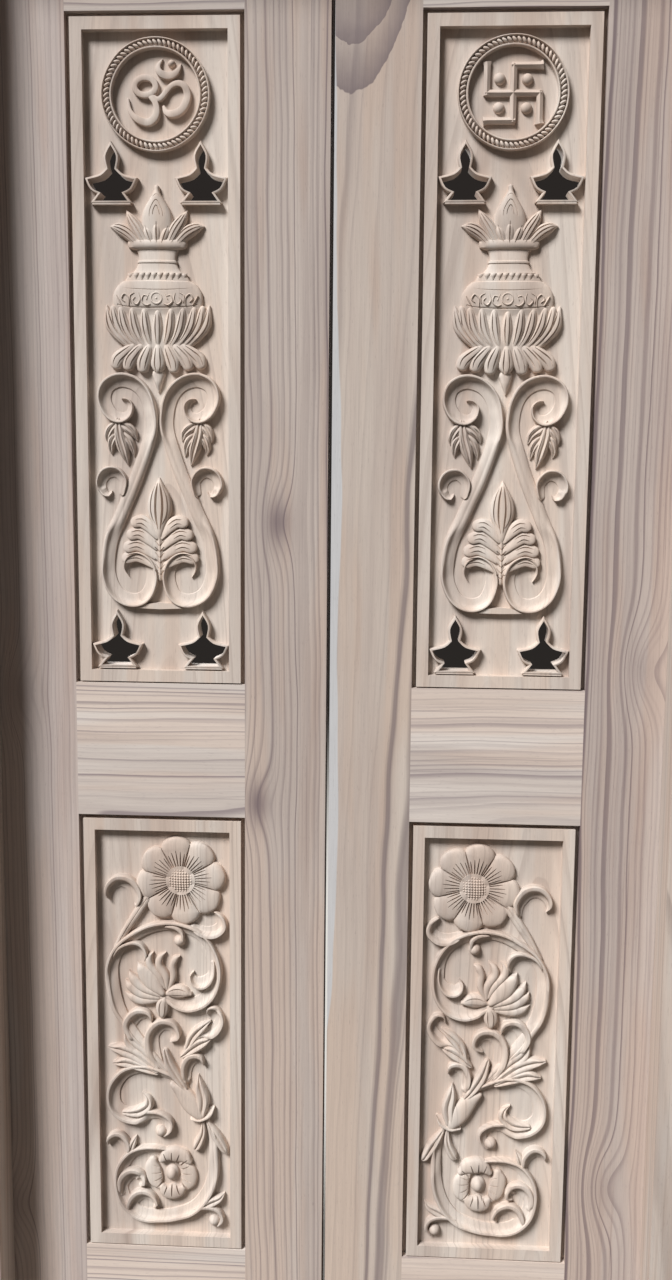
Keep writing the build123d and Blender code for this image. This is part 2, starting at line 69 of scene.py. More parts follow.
# %% [markdown]
# ## Camera
# The photograph was taken about 1.75 m in front of the leaves and a little above their middle,
# looking slightly down and to the left. The straight edges of the stiles and rails give the
# angles, so the camera is placed by them and not by eye.

# %% Camera
image_height = 1280
focal_pixels = 1300.0
camera_place = Vector((0.1067, -1.7395, 1.3897))
look_down, look_left, roll = 0.137, 0.056, 0.009

camera_data = bpy.data.cameras.new("camera")
camera = bpy.data.objects.new("camera", camera_data)
bpy.context.scene.collection.objects.link(camera)
bpy.context.scene.camera = camera
camera_data.sensor_fit = "VERTICAL"
camera_data.sensor_height = 36.0
camera_data.lens = 36.0 * focal_pixels / image_height

turn = (Matrix.Rotation(look_down, 3, "X") @ Matrix.Rotation(look_left, 3, "Y")
        @ Matrix.Rotation(roll, 3, "Z"))
axes = turn @ Matrix(((1, 0, 0), (0, 0, -1), (0, 1, 0)))
camera_turn = Matrix((axes[0], -axes[1], -axes[2])).transposed()
camera.matrix_world = Matrix.Translation(camera_place) @ camera_turn.to_4x4()
print("camera lens", round(camera_data.lens, 2), "mm")

# %% [markdown]
# ## Colours and nodes
# Colours are written as they are picked from a picture, in sRGB hex, and one function turns them
# to the linear values that Blender works with. One small helper adds any node: it takes the
# node's inputs in order or by name, and an input may be a number, a socket or another node.

# %% Helpers for colours and nodes


def linear(code, alpha=1.0):
    """An sRGB hex colour as linear values."""
    values = [int(code[i:i + 2], 16) / 255 for i in (1, 3, 5)]
    return [v / 12.92 if v <= 0.04045 else ((v + 0.055) / 1.055) ** 2.4 for v in values] + [alpha]


def add(tree, kind, inputs=(), **settings):
    """Adds a node with its settings, and fills or links its inputs."""
    node = tree.nodes.new(kind)
    for key, value in settings.items():
        setattr(node, key, value)
    pairs = inputs.items() if isinstance(inputs, dict) else enumerate(inputs)
    for key, value in pairs:
        if isinstance(value, bpy.types.Node):
            value = value.outputs[0]
        if isinstance(value, bpy.types.NodeSocket):
            tree.links.new(value, node.inputs[key])
        else:
            node.inputs[key].default_value = value
    return node


MATH, VECTOR = "ShaderNodeMath", "ShaderNodeVectorMath"
print("white is", linear("#ffffff")[:3], "and middle grey", [round(v, 3) for v in linear("#808080")[:3]])

# %% [markdown]
# ## Light and floor
# The photograph has its light high on the left. Here a soft lamp comes from the same side, so every
# carved edge gets its shadow on the right, and the world fills the rest. Together they give a
# surface that faces the viewer about the colour that is written.
#
# The floor is plain and pale. Some metres away it fades into a plain dark backdrop, so what is
# seen through the piercings stays dark, as it is in the photograph.

# %% Lamps
sun_way = Vector((-0.44, -0.56, 0.70))
sun_data = bpy.data.lights.new("sun", "SUN")
sun_data.energy = 5.0
sun_data.angle = math.radians(20)
sun = bpy.data.objects.new("sun", sun_data)
bpy.context.scene.collection.objects.link(sun)
sun.rotation_euler = sun_way.to_track_quat("Z", "Y").to_euler()

# a lamp behind the door, so that its back isn't black when a leaf is open
back_place, back_way = (-1.2, 2.6, 2.3), Vector((-1.2, 2.6, 1.2))
back_data = bpy.data.lights.new("back lamp", "AREA")
back_data.energy = 42.0
back_data.size = 1.6
back_lamp = bpy.data.objects.new("back lamp", back_data)
bpy.context.scene.collection.objects.link(back_lamp)
back_lamp.location = back_place
back_lamp.rotation_euler = back_way.to_track_quat("Z", "Y").to_euler()
print("lamps:", len(bpy.data.lights))

# %% World
ambient, backdrop = 0.11, "#2b2725"
world = bpy.data.worlds.new("studio")
bpy.context.scene.world = world
world.use_nodes = True
tree = world.node_tree
tree.nodes.clear()
soft = add(tree, "ShaderNodeBackground", {"Color": linear("#fffaf5"), "Strength": ambient})
shown = add(tree, "ShaderNodeBackground", {"Color": linear(backdrop), "Strength": 1.0})
ray = add(tree, "ShaderNodeLightPath").outputs
seen = add(tree, MATH, [ray["Is Camera Ray"], ray["Is Glossy Ray"]], operation="MAXIMUM")
seen = add(tree, MATH, [seen, ray["Is Transmission Ray"]], operation="MAXIMUM")
mix = add(tree, "ShaderNodeMixShader", [seen, soft, shown])
add(tree, "ShaderNodeOutputWorld", [mix])
print("the world lights with", ambient, "and shows", backdrop)

# %% Floor
reach, fade_start, fade_end = 30.0, 2.0, 5.5
corners = [(-reach, -reach, 0), (reach, -reach, 0), (reach, reach, 0), (-reach, reach, 0)]
floor_mesh = bpy.data.meshes.new("floor")
floor_mesh.from_pydata(corners, [], [(0, 1, 2, 3)])
floor = bpy.data.objects.new("floor", floor_mesh)
bpy.context.scene.collection.objects.link(floor)
floor_paint = bpy.data.materials.new("matt floor paint")
floor_paint.use_nodes = True
tree = floor_paint.node_tree
shader = tree.nodes["Principled BSDF"]
place = add(tree, "ShaderNodeTexCoord").outputs["Object"]
away = add(tree, VECTOR, [place], operation="LENGTH").outputs["Value"]
far = add(tree, "ShaderNodeMapRange", {"Value": away, "From Min": fade_start, "From Max": fade_end},
          interpolation_type="SMOOTHSTEP")
# the camera sees a pale floor; the light that the floor throws back on the door is held down
ray = add(tree, "ShaderNodeLightPath").outputs
near_colour = add(tree, "ShaderNodeMix", {"Factor": ray["Is Camera Ray"], 6: linear("#6f6b66"),
                                          7: linear("#b8b6b1")}, data_type="RGBA")
floor_colour = add(tree, "ShaderNodeMix", {"Factor": far, 6: near_colour.outputs[2],
                                           7: linear("#262321")}, data_type="RGBA")
tree.links.new(floor_colour.outputs[2], shader.inputs["Base Color"])
shader.inputs["Roughness"].default_value = 1.0
shader.inputs["Specular IOR Level"].default_value = 0.0
floor_mesh.materials.append(floor_paint)
bpy.context.scene.view_settings.view_transform = "Standard"
print("the floor fades from", fade_start, "to", fade_end, "m")

# %% [markdown]
# ## Teak, planed and sanded, left raw
# A board is cut from a log, so its figure is the log's growth rings seen through a flat face. Near
# the pith line they make arches, and away from it long parallel lines. The node group below holds
# a log: a distance from a leaning pith line, bent by slow noise and by a knot, is cut into rings.
# Each ring darkens slowly to its late wood and ends sharply. Every board gets its own log.
#
# All lengths in the group are millimetres. Real teak fibres are a few tenths of a millimetre wide,
# too fine for the picture, so the fibres here are drawn about 1 mm wide.
#
# Planed raw teak is matt and open-grained. The eye gets soft pale bands, thin dark lines and a
# faint sparkle of fibres, and no varnish: its roughness stays about 0.6 and its highlights are low.

# %% The log's inputs
log = bpy.data.node_groups.new("teak log", "ShaderNodeTree")
nowhere = (0.0, 0.0, 9000.0)
log_inputs = {
    "Vector": ("NodeSocketVector", None),
    "Pith Across": ("NodeSocketFloat", -120.0),
    "Pith Depth": ("NodeSocketFloat", 60.0),
    "Lean Across": ("NodeSocketFloat", 0.0),
    "Lean Depth": ("NodeSocketFloat", 0.03),
    "Ring": ("NodeSocketFloat", 5.0),
    "Waviness": ("NodeSocketFloat", 6.0),
    "Knot": ("NodeSocketVector", nowhere),
    "Second Knot": ("NodeSocketVector", nowhere),
    "Knot Pull": ("NodeSocketFloat", 0.0),
    "Knot Width": ("NodeSocketFloat", 30.0),
    "Knot Shade": ("NodeSocketFloat", 0.0),
    "Flame": ("NodeSocketVector", nowhere),
    "Sapwood": ("NodeSocketFloat", -1000.0),
    "Line": ("NodeSocketFloat", 0.6),
    "Band": ("NodeSocketFloat", 0.35),
    "Seed": ("NodeSocketFloat", 0.0),
    "Light Wood": ("NodeSocketColor", linear("#d2c7bd")),
    "Wood": ("NodeSocketColor", linear("#bfb1a5")),
    "Dark Wood": ("NodeSocketColor", linear("#83736c")),
}
for socket_name, (kind, value) in log_inputs.items():
    socket = log.interface.new_socket(socket_name, in_out="INPUT", socket_type=kind)
    if value is not None:
        socket.default_value = value
for socket_name, kind in (("Color", "NodeSocketColor"), ("Height", "NodeSocketFloat"),
                          ("Roughness", "NodeSocketFloat")):
    log.interface.new_socket(socket_name, in_out="OUTPUT", socket_type=kind)
given = add(log, "NodeGroupInput").outputs
print("inputs of the log:", len(given) - 1)

# %% Places and noise in the log
soft_ends = dict(interpolation_type="SMOOTHSTEP")
far_seed = add(log, MATH, [given["Seed"], 7.0], operation="MULTIPLY")
seed_shift = add(log, "ShaderNodeCombineXYZ", {0: given["Seed"], 2: far_seed})
millimetres = add(log, VECTOR, {0: given["Vector"], "Scale": 1000.0}, operation="SCALE")
point = add(log, VECTOR, [millimetres, seed_shift])
parts = add(log, "ShaderNodeSeparateXYZ", [millimetres]).outputs


def speckle(size, detail=2.0, rough=0.5):
    """Noise whose lumps measure size (across, deep, along) in millimetres."""
    shrunk = add(log, VECTOR, [point, [1 / s for s in size]], operation="MULTIPLY")
    return add(log, "ShaderNodeTexNoise", {"Vector": shrunk, "Scale": 1.0, "Detail": detail,
                                           "Roughness": rough})


def sway(size, detail, amount):
    """Noise around zero, amount millimetres high."""
    centred = add(log, MATH, [speckle(size, detail), 0.5], operation="SUBTRACT")
    return add(log, MATH, [centred, amount], operation="MULTIPLY")


def patches(size, low, high, detail=2.0):
    """Soft patches of a size: none where the noise is under low, full where it is over high."""
    return add(log, "ShaderNodeMapRange", {"Value": speckle(size, detail), "From Min": low,
                                           "From Max": high}, **soft_ends)


def way_from(corner, stretch):
    """The way from a corner to the shaded point, with each direction stretched."""
    away = add(log, VECTOR, [millimetres, corner], operation="SUBTRACT")
    return add(log, VECTOR, [away, stretch], operation="MULTIPLY")


def nearness(knot):
    """1 at a knot, falling softly to 0, and twice as long as wide."""
    reach = add(log, VECTOR, [way_from(knot, (1.0, 0.0, 0.5))], operation="LENGTH").outputs["Value"]
    share = add(log, MATH, [reach, given["Knot Width"]], operation="DIVIDE")
    square = add(log, MATH, [share, share], operation="MULTIPLY")
    fall = add(log, MATH, [square, -1.0], operation="MULTIPLY")
    return add(log, MATH, [fall], operation="EXPONENT")


print("places in the log:", len(log.nodes), "nodes")

# %% How far each point is from the pith
squares = []
for part, side in ((0, "Across"), (1, "Depth")):
    away = add(log, MATH, [parts[part], given[f"Pith {side}"]], operation="SUBTRACT")
    lean = add(log, MATH, [parts[2], given[f"Lean {side}"]], operation="MULTIPLY")
    away = add(log, MATH, [away, lean], operation="SUBTRACT")
    squares.append(add(log, MATH, [away, away], operation="MULTIPLY"))
radius = add(log, MATH, squares, operation="ADD")
radius = add(log, MATH, [radius], operation="SQRT")
waves = [sway((90, 90, 320), 1.5, given["Waviness"]), sway((24, 24, 90), 1.0, 2.0)]
wander = add(log, MATH, waves, operation="ADD")
radius = add(log, MATH, [radius, wander], operation="ADD")
knots = add(log, MATH, [nearness(given["Knot"]), nearness(given["Second Knot"])], operation="ADD")
pull = add(log, MATH, [knots, given["Knot Pull"]], operation="MULTIPLY")
radius = add(log, MATH, [radius, pull], operation="ADD")


def along_rings(size, salt, detail):
    """Noise that only changes from ring to ring."""
    share = add(log, MATH, [radius, size], operation="DIVIDE")
    row = add(log, MATH, [given["Seed"], salt], operation="ADD")
    place = add(log, "ShaderNodeCombineXYZ", [share, row])
    return add(log, "ShaderNodeTexNoise", {"Vector": place, "Scale": 1.0, "Detail": detail})


print("pith and knots:", len(log.nodes), "nodes")

# %% Growth rings
ring = add(log, MATH, [radius, given["Ring"]], operation="DIVIDE")
unevenness = add(log, MATH, [along_rings(22.0, 0.0, 1.0), 4.0], operation="MULTIPLY")
ring = add(log, MATH, [ring, unevenness], operation="ADD")
in_ring = add(log, MATH, [ring], operation="FRACT")
ring_number = add(log, MATH, [ring], operation="FLOOR")
ring_number = add(log, MATH, [ring_number, given["Seed"]], operation="ADD")
ring_mark = add(log, "ShaderNodeTexWhiteNoise", {"W": ring_number}, noise_dimensions="1D")
rise = add(log, "ShaderNodeMapRange", {"Value": in_ring, "From Min": 0.5, "From Max": 0.92},
           **soft_ends)
drop = add(log, "ShaderNodeMapRange", {"Value": in_ring, "From Min": 0.95, "From Max": 1.0},
           **soft_ends)
drop = add(log, MATH, [1.0, drop], operation="SUBTRACT")
late = add(log, MATH, [rise, drop], operation="MULTIPLY")
strength = add(log, MATH, [ring_mark, ring_mark], operation="MULTIPLY")
strength = add(log, MATH, [strength, 0.85], operation="MULTIPLY")
strength = add(log, MATH, [strength, 0.15], operation="ADD")
strength = add(log, MATH, [strength, given["Line"]], operation="MULTIPLY")
late = add(log, MATH, [late, strength], operation="MULTIPLY")
band = add(log, "ShaderNodeMapRange", {"Value": along_rings(15.0, 9.0, 2.0), "From Min": 0.52,
                                       "From Max": 0.70}, **soft_ends)
band = add(log, MATH, [band, given["Band"]], operation="MULTIPLY")
print("growth rings:", len(log.nodes), "nodes")

# %% The flame at a board's top, and the sapwood along its edge
flame_parts = add(log, "ShaderNodeSeparateXYZ", [way_from(given["Flame"], (1.0, 0.0, 1.0))]).outputs
flame = add(log, MATH, [flame_parts[0], flame_parts[0]], operation="MULTIPLY")
flame = add(log, MATH, [flame, 0.021], operation="MULTIPLY")
flame = add(log, MATH, [flame_parts[2], flame], operation="SUBTRACT")
flame = add(log, MATH, [flame, sway((16, 16, 16), 2.0, 16.0)], operation="ADD")
flame = add(log, MATH, [flame, 62.0], operation="DIVIDE")
edge = add(log, "ShaderNodeMapRange", {"Value": flame, "From Min": 0.0, "From Max": 0.03},
           **soft_ends)
fading = add(log, MATH, [flame], operation="FRACT")
fading = add(log, MATH, [fading, 0.6], operation="MULTIPLY")
fading = add(log, MATH, [0.85, fading], operation="SUBTRACT")
flame = add(log, MATH, [edge, fading], operation="MULTIPLY")
sapwood = add(log, MATH, [parts[0], sway((60, 60, 330), 2.0, 22.0)], operation="ADD")
for start, end, shift in ((300.0, 760.0, 10.0), (-380.0, -640.0, 16.0)):
    swell = add(log, "ShaderNodeMapRange", {"Value": parts[2], "From Min": start, "From Max": end},
                **soft_ends)
    swell = add(log, MATH, [swell, shift], operation="MULTIPLY")
    sapwood = add(log, MATH, [sapwood, swell], operation="ADD")
sapwood = add(log, MATH, [sapwood, given["Sapwood"]], operation="SUBTRACT")
sapwood = add(log, "ShaderNodeMapRange", {"Value": sapwood, "From Min": -1.0, "From Max": 1.0},
              **soft_ends)
sapwood = add(log, MATH, [1.0, sapwood], operation="SUBTRACT")
print("flame and sapwood:", len(log.nodes), "nodes")

# %% Colour, layer by layer
fibre = speckle((1.1, 1.1, 60), 3.0, 0.6)
lift = add(log, MATH, [fibre, 0.30], operation="MULTIPLY")
lift = add(log, MATH, [lift, 0.85], operation="ADD")
fibre_shade = add(log, "ShaderNodeCombineColor", [lift, lift, lift])
pore = patches((0.9, 0.9, 11), 0.66, 0.76, 1.0)
streak = add(log, MATH, [patches((3.6, 3.6, 420), 0.55, 0.8), given["Line"]], operation="MULTIPLY")
knot_core = add(log, MATH, [knots, 2.5], operation="POWER")
light_wood, dark_wood = given["Light Wood"], given["Dark Wood"]
# each layer: where it lies, how strong it is (None keeps it as it is), its colour, how it mixes
layers = [
    (patches((50, 50, 700), 0.32, 0.68), None, light_wood, "MIX"),
    (patches((120, 120, 380), 0.42, 0.7), 0.4, light_wood, "MIX"),
    (patches((34, 34, 420), 0.42, 0.62), 0.8, linear("#fcf3ed"), "MULTIPLY"),
    (band, None, dark_wood, "MIX"),
    (late, None, dark_wood, "MIX"),
    (streak, 0.5, dark_wood, "MIX"),
    (flame, None, dark_wood, "MIX"),
    (knot_core, given["Knot Shade"], dark_wood, "MIX"),
    (sapwood, 0.85, linear("#c3c4c6"), "MIX"),
    (1.0, None, fibre_shade, "MULTIPLY"),
    (pore, 0.30, dark_wood, "MIX")]
wood = given["Wood"]
for share, amount, colour, way in layers:
    if amount is not None:
        share = add(log, MATH, [share, amount], operation="MULTIPLY")
    wood = add(log, "ShaderNodeMix", {"Factor": share, 6: wood, 7: colour}, data_type="RGBA",
               blend_type=way).outputs[2]
print("colour layers:", len(layers))

# %% Relief and gloss of the wood
relief = add(log, MATH, [fibre, 0.5], operation="MULTIPLY")
late_relief = add(log, MATH, [late, 0.35], operation="MULTIPLY")
relief = add(log, MATH, [relief, late_relief], operation="ADD")
pore_relief = add(log, MATH, [pore, 0.5], operation="MULTIPLY")
relief = add(log, MATH, [relief, pore_relief], operation="SUBTRACT")
dullness = add(log, MATH, [fibre, 0.16], operation="MULTIPLY")
dullness = add(log, MATH, [dullness, 0.58], operation="ADD")
add(log, "NodeGroupOutput", {"Color": wood, "Height": relief, "Roughness": dullness})
print("teak log:", len(log.nodes), "nodes")

# %% [markdown]
# Each board names its own log. A board's long side runs along the log, so a rail turns the
# pattern by a quarter turn, and every board moves it to another place.

# %% A material for each board
wood_ior = 1.5


def teak(name, centre, upright=True, rough_cut=0.25, **figure):
    """Teak for one board: where its middle is (x, z in mm), how it runs, and its log. A knot or a
    flame is given where it shows on the door, (x, z) in mm."""
    material = bpy.data.materials.new(name)
    material.use_nodes = True
    tree = material.node_tree
    shader = tree.nodes["Principled BSDF"]
    coordinates = add(tree, "ShaderNodeTexCoord")
    x, z = centre[0] / 1000, centre[1] / 1000
    if upright:
        move, spin = (-x, 0.0, -z), (0.0, 0.0, 0.0)
    else:
        move, spin = (-z, 0.0, x), (0.0, math.radians(90), 0.0)
    placed = add(tree, "ShaderNodeMapping", {"Vector": coordinates.outputs["Object"], "Location": move,
                                             "Rotation": spin})
    log_node = add(tree, "ShaderNodeGroup", node_tree=log)
    tree.links.new(placed.outputs[0], log_node.inputs["Vector"])
    for key, value in figure.items():
        if isinstance(value, tuple):
            value = (value[0] - centre[0], 0.0, value[1] - centre[1])
        socket = log_node.inputs[key.replace("_", " ").title()]
        socket.default_value = linear(value) if isinstance(value, str) else value
    bump = add(tree, "ShaderNodeBump", {"Height": log_node.outputs["Height"], "Distance": 0.0004,
                                        "Strength": rough_cut})
    tree.links.new(log_node.outputs["Color"], shader.inputs["Base Color"])
    tree.links.new(log_node.outputs["Roughness"], shader.inputs["Roughness"])
    tree.links.new(bump.outputs[0], shader.inputs["Normal"])
    shader.inputs["IOR"].default_value = wood_ior
    shader.inputs["Specular IOR Level"].default_value = 0.35
    return material


def middle(node_name):
    """The middle of a node seen from the front, in millimetres."""
    low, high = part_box(node_name)
    return 500 * (low[0] + high[0]), 500 * (low[2] + high[2])


def dress(node_name, material):
    """Gives a CAD node its material."""
    node = nodes[node_name]
    node.data.materials.clear()
    node.data.materials.append(material)


print("the left hinge stile's middle:", middle("left_hinge_stile"))

# %% [markdown]
# The four stiles show their figure best, so each gets the knots, the pale sapwood edge or the dark
# flame that the photograph shows on it. The rails, the frame and the pegs get plainer boards.

# %% Stiles
board_figures = {
    "left_hinge_stile": dict(
        pith_across=-190.0, pith_depth=60.0, ring=5.5, waviness=8.0, line=0.8, band=0.35,
        wood="#b5a7a1", light_wood="#c4b8b1", dark_wood="#7a6a6a", seed=3.0,
        knot=(-432, 1066), second_knot=(-456, 300), knot_pull=24.0, knot_width=30.0, knot_shade=0.25),
    "left_meeting_stile": dict(
        pith_across=-150.0, pith_depth=75.0, lean_depth=0.02, ring=7.0, waviness=16.0, line=0.95,
        band=0.65, wood="#b1a39b", light_wood="#c3b6ad", dark_wood="#6c5d61", seed=11.0,
        knot=(-70, 1306), second_knot=(-97, 915), knot_pull=16.0, knot_width=26.0, knot_shade=0.75),
    "right_meeting_stile": dict(
        pith_across=95.0, pith_depth=70.0, lean_across=0.02, ring=14.0, waviness=30.0, line=0.4,
        band=0.7, wood="#b9aaa0", light_wood="#c6b9ae", dark_wood="#6f6264", seed=32.2,
        flame=(25, 1857), sapwood=-45.0),
    "right_hinge_stile": dict(
        pith_across=170.0, pith_depth=40.0, ring=9.0, waviness=16.0, line=1.0, band=0.5,
        wood="#ad9f98", light_wood="#bcafa7", dark_wood="#68585c", seed=31.0,
        knot=(424, 1113), second_knot=(398, 362), knot_pull=-30.0, knot_width=32.0, knot_shade=0.2),
}
for node_name, figure in board_figures.items():
    dress(node_name, teak("planed teak, " + node_name.replace("_", " "), middle(node_name), **figure))
print("stiles dressed:", len(board_figures))

# %% Rails and frame


def plain(node_name, upright, number, pith, **figure):
    """Teak for a board whose own figure matters less."""
    figure = dict(pith_across=pith, seed=7.0 * number, wood="#b9aca2", light_wood="#c8bdb4") | figure
    name = "planed teak, " + node_name.replace("_", " ")
    dress(node_name, teak(name, middle(node_name), upright, **figure))


rail_figure = dict(pith_depth=70.0, ring=7.0, waviness=20.0, line=0.8, band=0.28, wood="#c1b5ad",
                   light_wood="#d6ccc4", dark_wood="#7b6c72")
for side_name, seed in (("left", 6), ("right", 9)):
    for number, rail_name in enumerate(("top_rail", "middle_rail", "bottom_rail")):
        plain(f"{side_name}_{rail_name}", False, seed + number, -140.0 + 40 * number, **rail_figure)
for number, node_name in enumerate(("frame_left_jamb", "frame_right_jamb", "frame_pegs")):
    plain(node_name, True, 12 + number, -90.0 + 40 * number)
for number, node_name in enumerate(("frame_head", "frame_sill")):
    plain(node_name, False, 15 + number, -100.0 + 60 * number)
print("boards dressed:", len(bpy.data.materials) - 1)

# %% [markdown]
# ## Hinges: zinc-plated steel
# Pressed steel plates get a thin zinc plating that soon turns dull and cloudy. It is a metal, so
# the eye gets a soft grey highlight, broken by clouds about 5 mm wide in its gloss and tint.

# %% Steel
steel = bpy.data.materials.new("zinc-plated steel, dulled")
steel.use_nodes = True
tree = steel.node_tree
shader = tree.nodes["Principled BSDF"]
shader.inputs["Metallic"].default_value = 1.0
place = add(tree, "ShaderNodeTexCoord").outputs["Object"]
clouds = add(tree, "ShaderNodeTexNoise", {"Vector": place, "Scale": 180.0, "Detail": 4.0})
dull = add(tree, "ShaderNodeMapRange", {"Value": clouds, "To Min": 0.28, "To Max": 0.52})
tint = add(tree, "ShaderNodeValToRGB", {"Fac": clouds})
tint.color_ramp.elements[0].color = linear("#8f9294")
tint.color_ramp.elements[1].color = linear("#b9bcbd")
tree.links.new(dull.outputs[0], shader.inputs["Roughness"])
tree.links.new(tint.outputs[0], shader.inputs["Base Color"])
steel_nodes = [name for name in nodes if name.endswith("_plate") or name.endswith("_pin")]
for node_name in steel_nodes:
    dress(node_name, steel)
print("steel nodes:", len(steel_nodes))

# %% [markdown]
# ## Carving
# A carver draws the pattern on the plank, sinks the ground 12 mm and then shapes each band that is
# left standing. The script does the same. A stroke is a short list of points: across from
# the plank's centre line, height above the opening's lower edge, half width, and how high it stands
# above the ground. A smooth curve goes through them, and a section is swept along it. The sections
# are what makes the carving: scrolls that lean outwards, full petals, creased leaves, flat bars.

# %% Curves and skins
step = 3.0
root = -2.0


def smooth(points, spacing=step):
    """A curve through given points, each a tuple of numbers, in even short steps."""
    path = [tuple(points[0])]
    for i in range(len(points) - 1):
        a, b = points[max(i - 1, 0)], points[i]
        c, d = points[i + 1], points[min(i + 2, len(points) - 1)]
        count = max(1, round(math.dist(b[:2], c[:2]) / spacing))
        for k in range(1, count + 1):
            t = k / count
            path.append(tuple(
                q + 0.5 * t * (r - p + t * (2 * p - 5 * q + 4 * r - s + t * (3 * q - p - 3 * r + s)))
                for p, q, r, s in zip(a, b, c, d)))
    return path


def heading(path, i):
    """The direction of a path at one of its points, as (across, up)."""
    x0, z0 = path[max(i - 1, 0)][:2]
    x1, z1 = path[min(i + 1, len(path) - 1)][:2]
    length = math.hypot(x1 - x0, z1 - z0) or 1.0
    return (x1 - x0) / length, (z1 - z0) / length


def shell(rings):
    """A closed skin over rings of points, as points and faces."""
    count = len(rings[0])
    points = [point for ring in rings for point in ring]
    faces = []
    for i in range(len(rings) - 1):
        for j in range(count):
            a, b = i * count + j, i * count + (j + 1) % count
            faces.append((a, b, b + count, a + count))
    faces.append(tuple(range(count)))
    faces.append(tuple(range(len(points) - count, len(points))))
    return points, faces


print("a curve of 30 mm:", len(smooth([(0, 0), (15, 10), (30, 0)])), "points")

# %% [markdown]
# A stroke leans to the outside of its bend, where the carver leaves the crest. A blunt end is
# closed with a round cap, and a narrow stroke stands lower than a wide one, as on real carving.

# %% Strokes
lean_reach, lean_gain = 5, 2.6
thinnest, full_width = 0.25, 5.5
cap_angles = (25, 45, 62, 76, 86)


def stations_of(points, spacing, sink):
    """Where the sections stand: place, half width, height, heading and lean."""
    path = smooth(points, spacing)
    ways = [heading(path, i) for i in range(len(path))]
    stations = []
    for i, (x, z, half, rise) in enumerate(path):
        a, b = ways[max(i - lean_reach, 0)], ways[min(i + lean_reach, len(path) - 1)]
        lean = max(-1.0, min(1.0, lean_gain * (a[0] * b[1] - a[1] * b[0])))
        half = max(half, thinnest)
        if sink:
            rise = rise * (0.45 + 0.55 * min(1.0, half / full_width))
        stations.append((x, z, half, rise, ways[i], lean))
    return stations


def sweep(points, section, blunt=(True, True), spacing=step, sink=True, cap=1.0):
    """Sweeps a section along a stroke; section(lean) gives (across -1..1, height 0..1) points."""
    stations = stations_of(points, spacing, sink)
    for end, is_blunt in ((0, blunt[0]), (-1, blunt[1])):
        x, z, half, rise, way, lean = stations[end]
        if not is_blunt or half < 1.0:
            continue
        out = -1 if end == 0 else 1
        caps = []
        for angle in cap_angles:
            s, c = math.sin(math.radians(angle)), math.cos(math.radians(angle))
            caps.append((x + out * way[0] * half * s * cap, z + out * way[1] * half * s * cap, half * c,
                         rise * (0.7 + 0.3 * c), way, lean))
        stations = caps[::-1] + stations if end == 0 else stations + caps
    rings = []
    for x, z, half, rise, (hx, hz), lean in stations:
        ring = [(x + hz * u * half, h * rise, z - hx * u * half) for u, h in section(lean)]
        first, last = ring[0], ring[-1]
        ring[0] = (first[0], max(first[1], 0.0), first[2])
        ring += [(last[0], root, last[2]), (first[0], root, first[2])]
        rings.append(ring)
    return shell(rings)


print("stations of a short stroke:", len(stations_of([(0, 0, 5, 9), (0, 30, 5, 9)], step, True)))

# %% [markdown]
# ### Sections
# A band of the lyre or the vine has a steep outer wall, a crest near it, a hollow that slopes
# inwards and a low step at the inner edge. Where the bend changes sides the two shapes blend, so
# the crest crosses to the other side. Petals and leaves are the same on both sides.

# %% Sections that lean
scroll_profile = [
    (1.0, 0.05), (0.99, 0.62), (0.94, 0.87), (0.84, 1.0), (0.68, 0.99), (0.55, 0.86), (0.43, 0.62),
    (0.28, 0.44), (0.06, 0.33), (-0.22, 0.26), (-0.52, 0.22), (-0.90, 0.15), (-0.99, 0.02)]
vine_profile = [
    (1.0, 0.05), (0.99, 0.64), (0.93, 0.88), (0.82, 1.0), (0.56, 1.0), (0.43, 0.90), (0.34, 0.62),
    (0.20, 0.48), (-0.05, 0.38), (-0.35, 0.31), (-0.65, 0.26), (-0.93, 0.20), (-0.99, 0.02)]
curl_profile = [
    (1.0, 0.05), (0.99, 0.66), (0.94, 0.88), (0.82, 1.0), (0.48, 1.0), (0.26, 0.92), (0.11, 0.70),
    (0.02, 0.42), (-0.12, 0.27), (-0.38, 0.21), (-0.68, 0.19), (-0.93, 0.16), (-0.99, 0.02)]


def leaning(profile, lean):
    """A section whose outer side is on the right for lean 1 and on the left for lean -1."""
    right, left = (1 + lean) / 2, (1 - lean) / 2
    flipped = [(-u, h) for u, h in profile[::-1]]
    return [(right * a[0] + left * b[0], right * a[1] + left * b[1]) for a, b in zip(profile, flipped)]


def scroll(lean):
    """The lyre's band: a narrow crest and a wide hollow."""
    return leaning(scroll_profile, lean)


def vine_band(lean):
    """The vine's band: a crest like a bead, with a step down to the hollow."""
    return leaning(vine_profile, lean)


def curl(lean):
    """A leaf that curls over: its crest is half its width, and the hollow is deep."""
    return leaning(curl_profile, lean)


print("scroll section:", len(scroll(0.5)), "points")

# %% Sections that are the same on both sides


def rounded(lean):
    """A half round."""
    return [(math.cos(a), math.sin(a) ** 0.75) for a in [math.pi * k / 10 for k in range(11)]]


def full(lean):
    """A petal's section: steep sides and a full, gently rounded face."""
    return [(math.cos(a), math.sin(a) ** 0.45) for a in [math.pi * k / 12 for k in range(13)]]


def lapped(lean):
    """A lobe's section: it stands higher at its lower edge, over the next lobe."""
    return [(1.0, 0.0), (0.99, 0.76), (0.93, 0.93), (0.75, 1.0), (0.3, 0.99), (-0.3, 0.90), (-0.8, 0.75),
            (-0.97, 0.62), (-1.0, 0.0)]


def creased(lean):
    """A smooth leaf with one crease along its middle."""
    half = [(0.97, 0.56), (0.82, 0.84), (0.56, 1.0), (0.30, 0.98), (0.12, 0.86)]
    return [(1.0, 0.0)] + half + [(0.0, 0.70)] + [(-u, h) for u, h in half[::-1]] + [(-1.0, 0.0)]


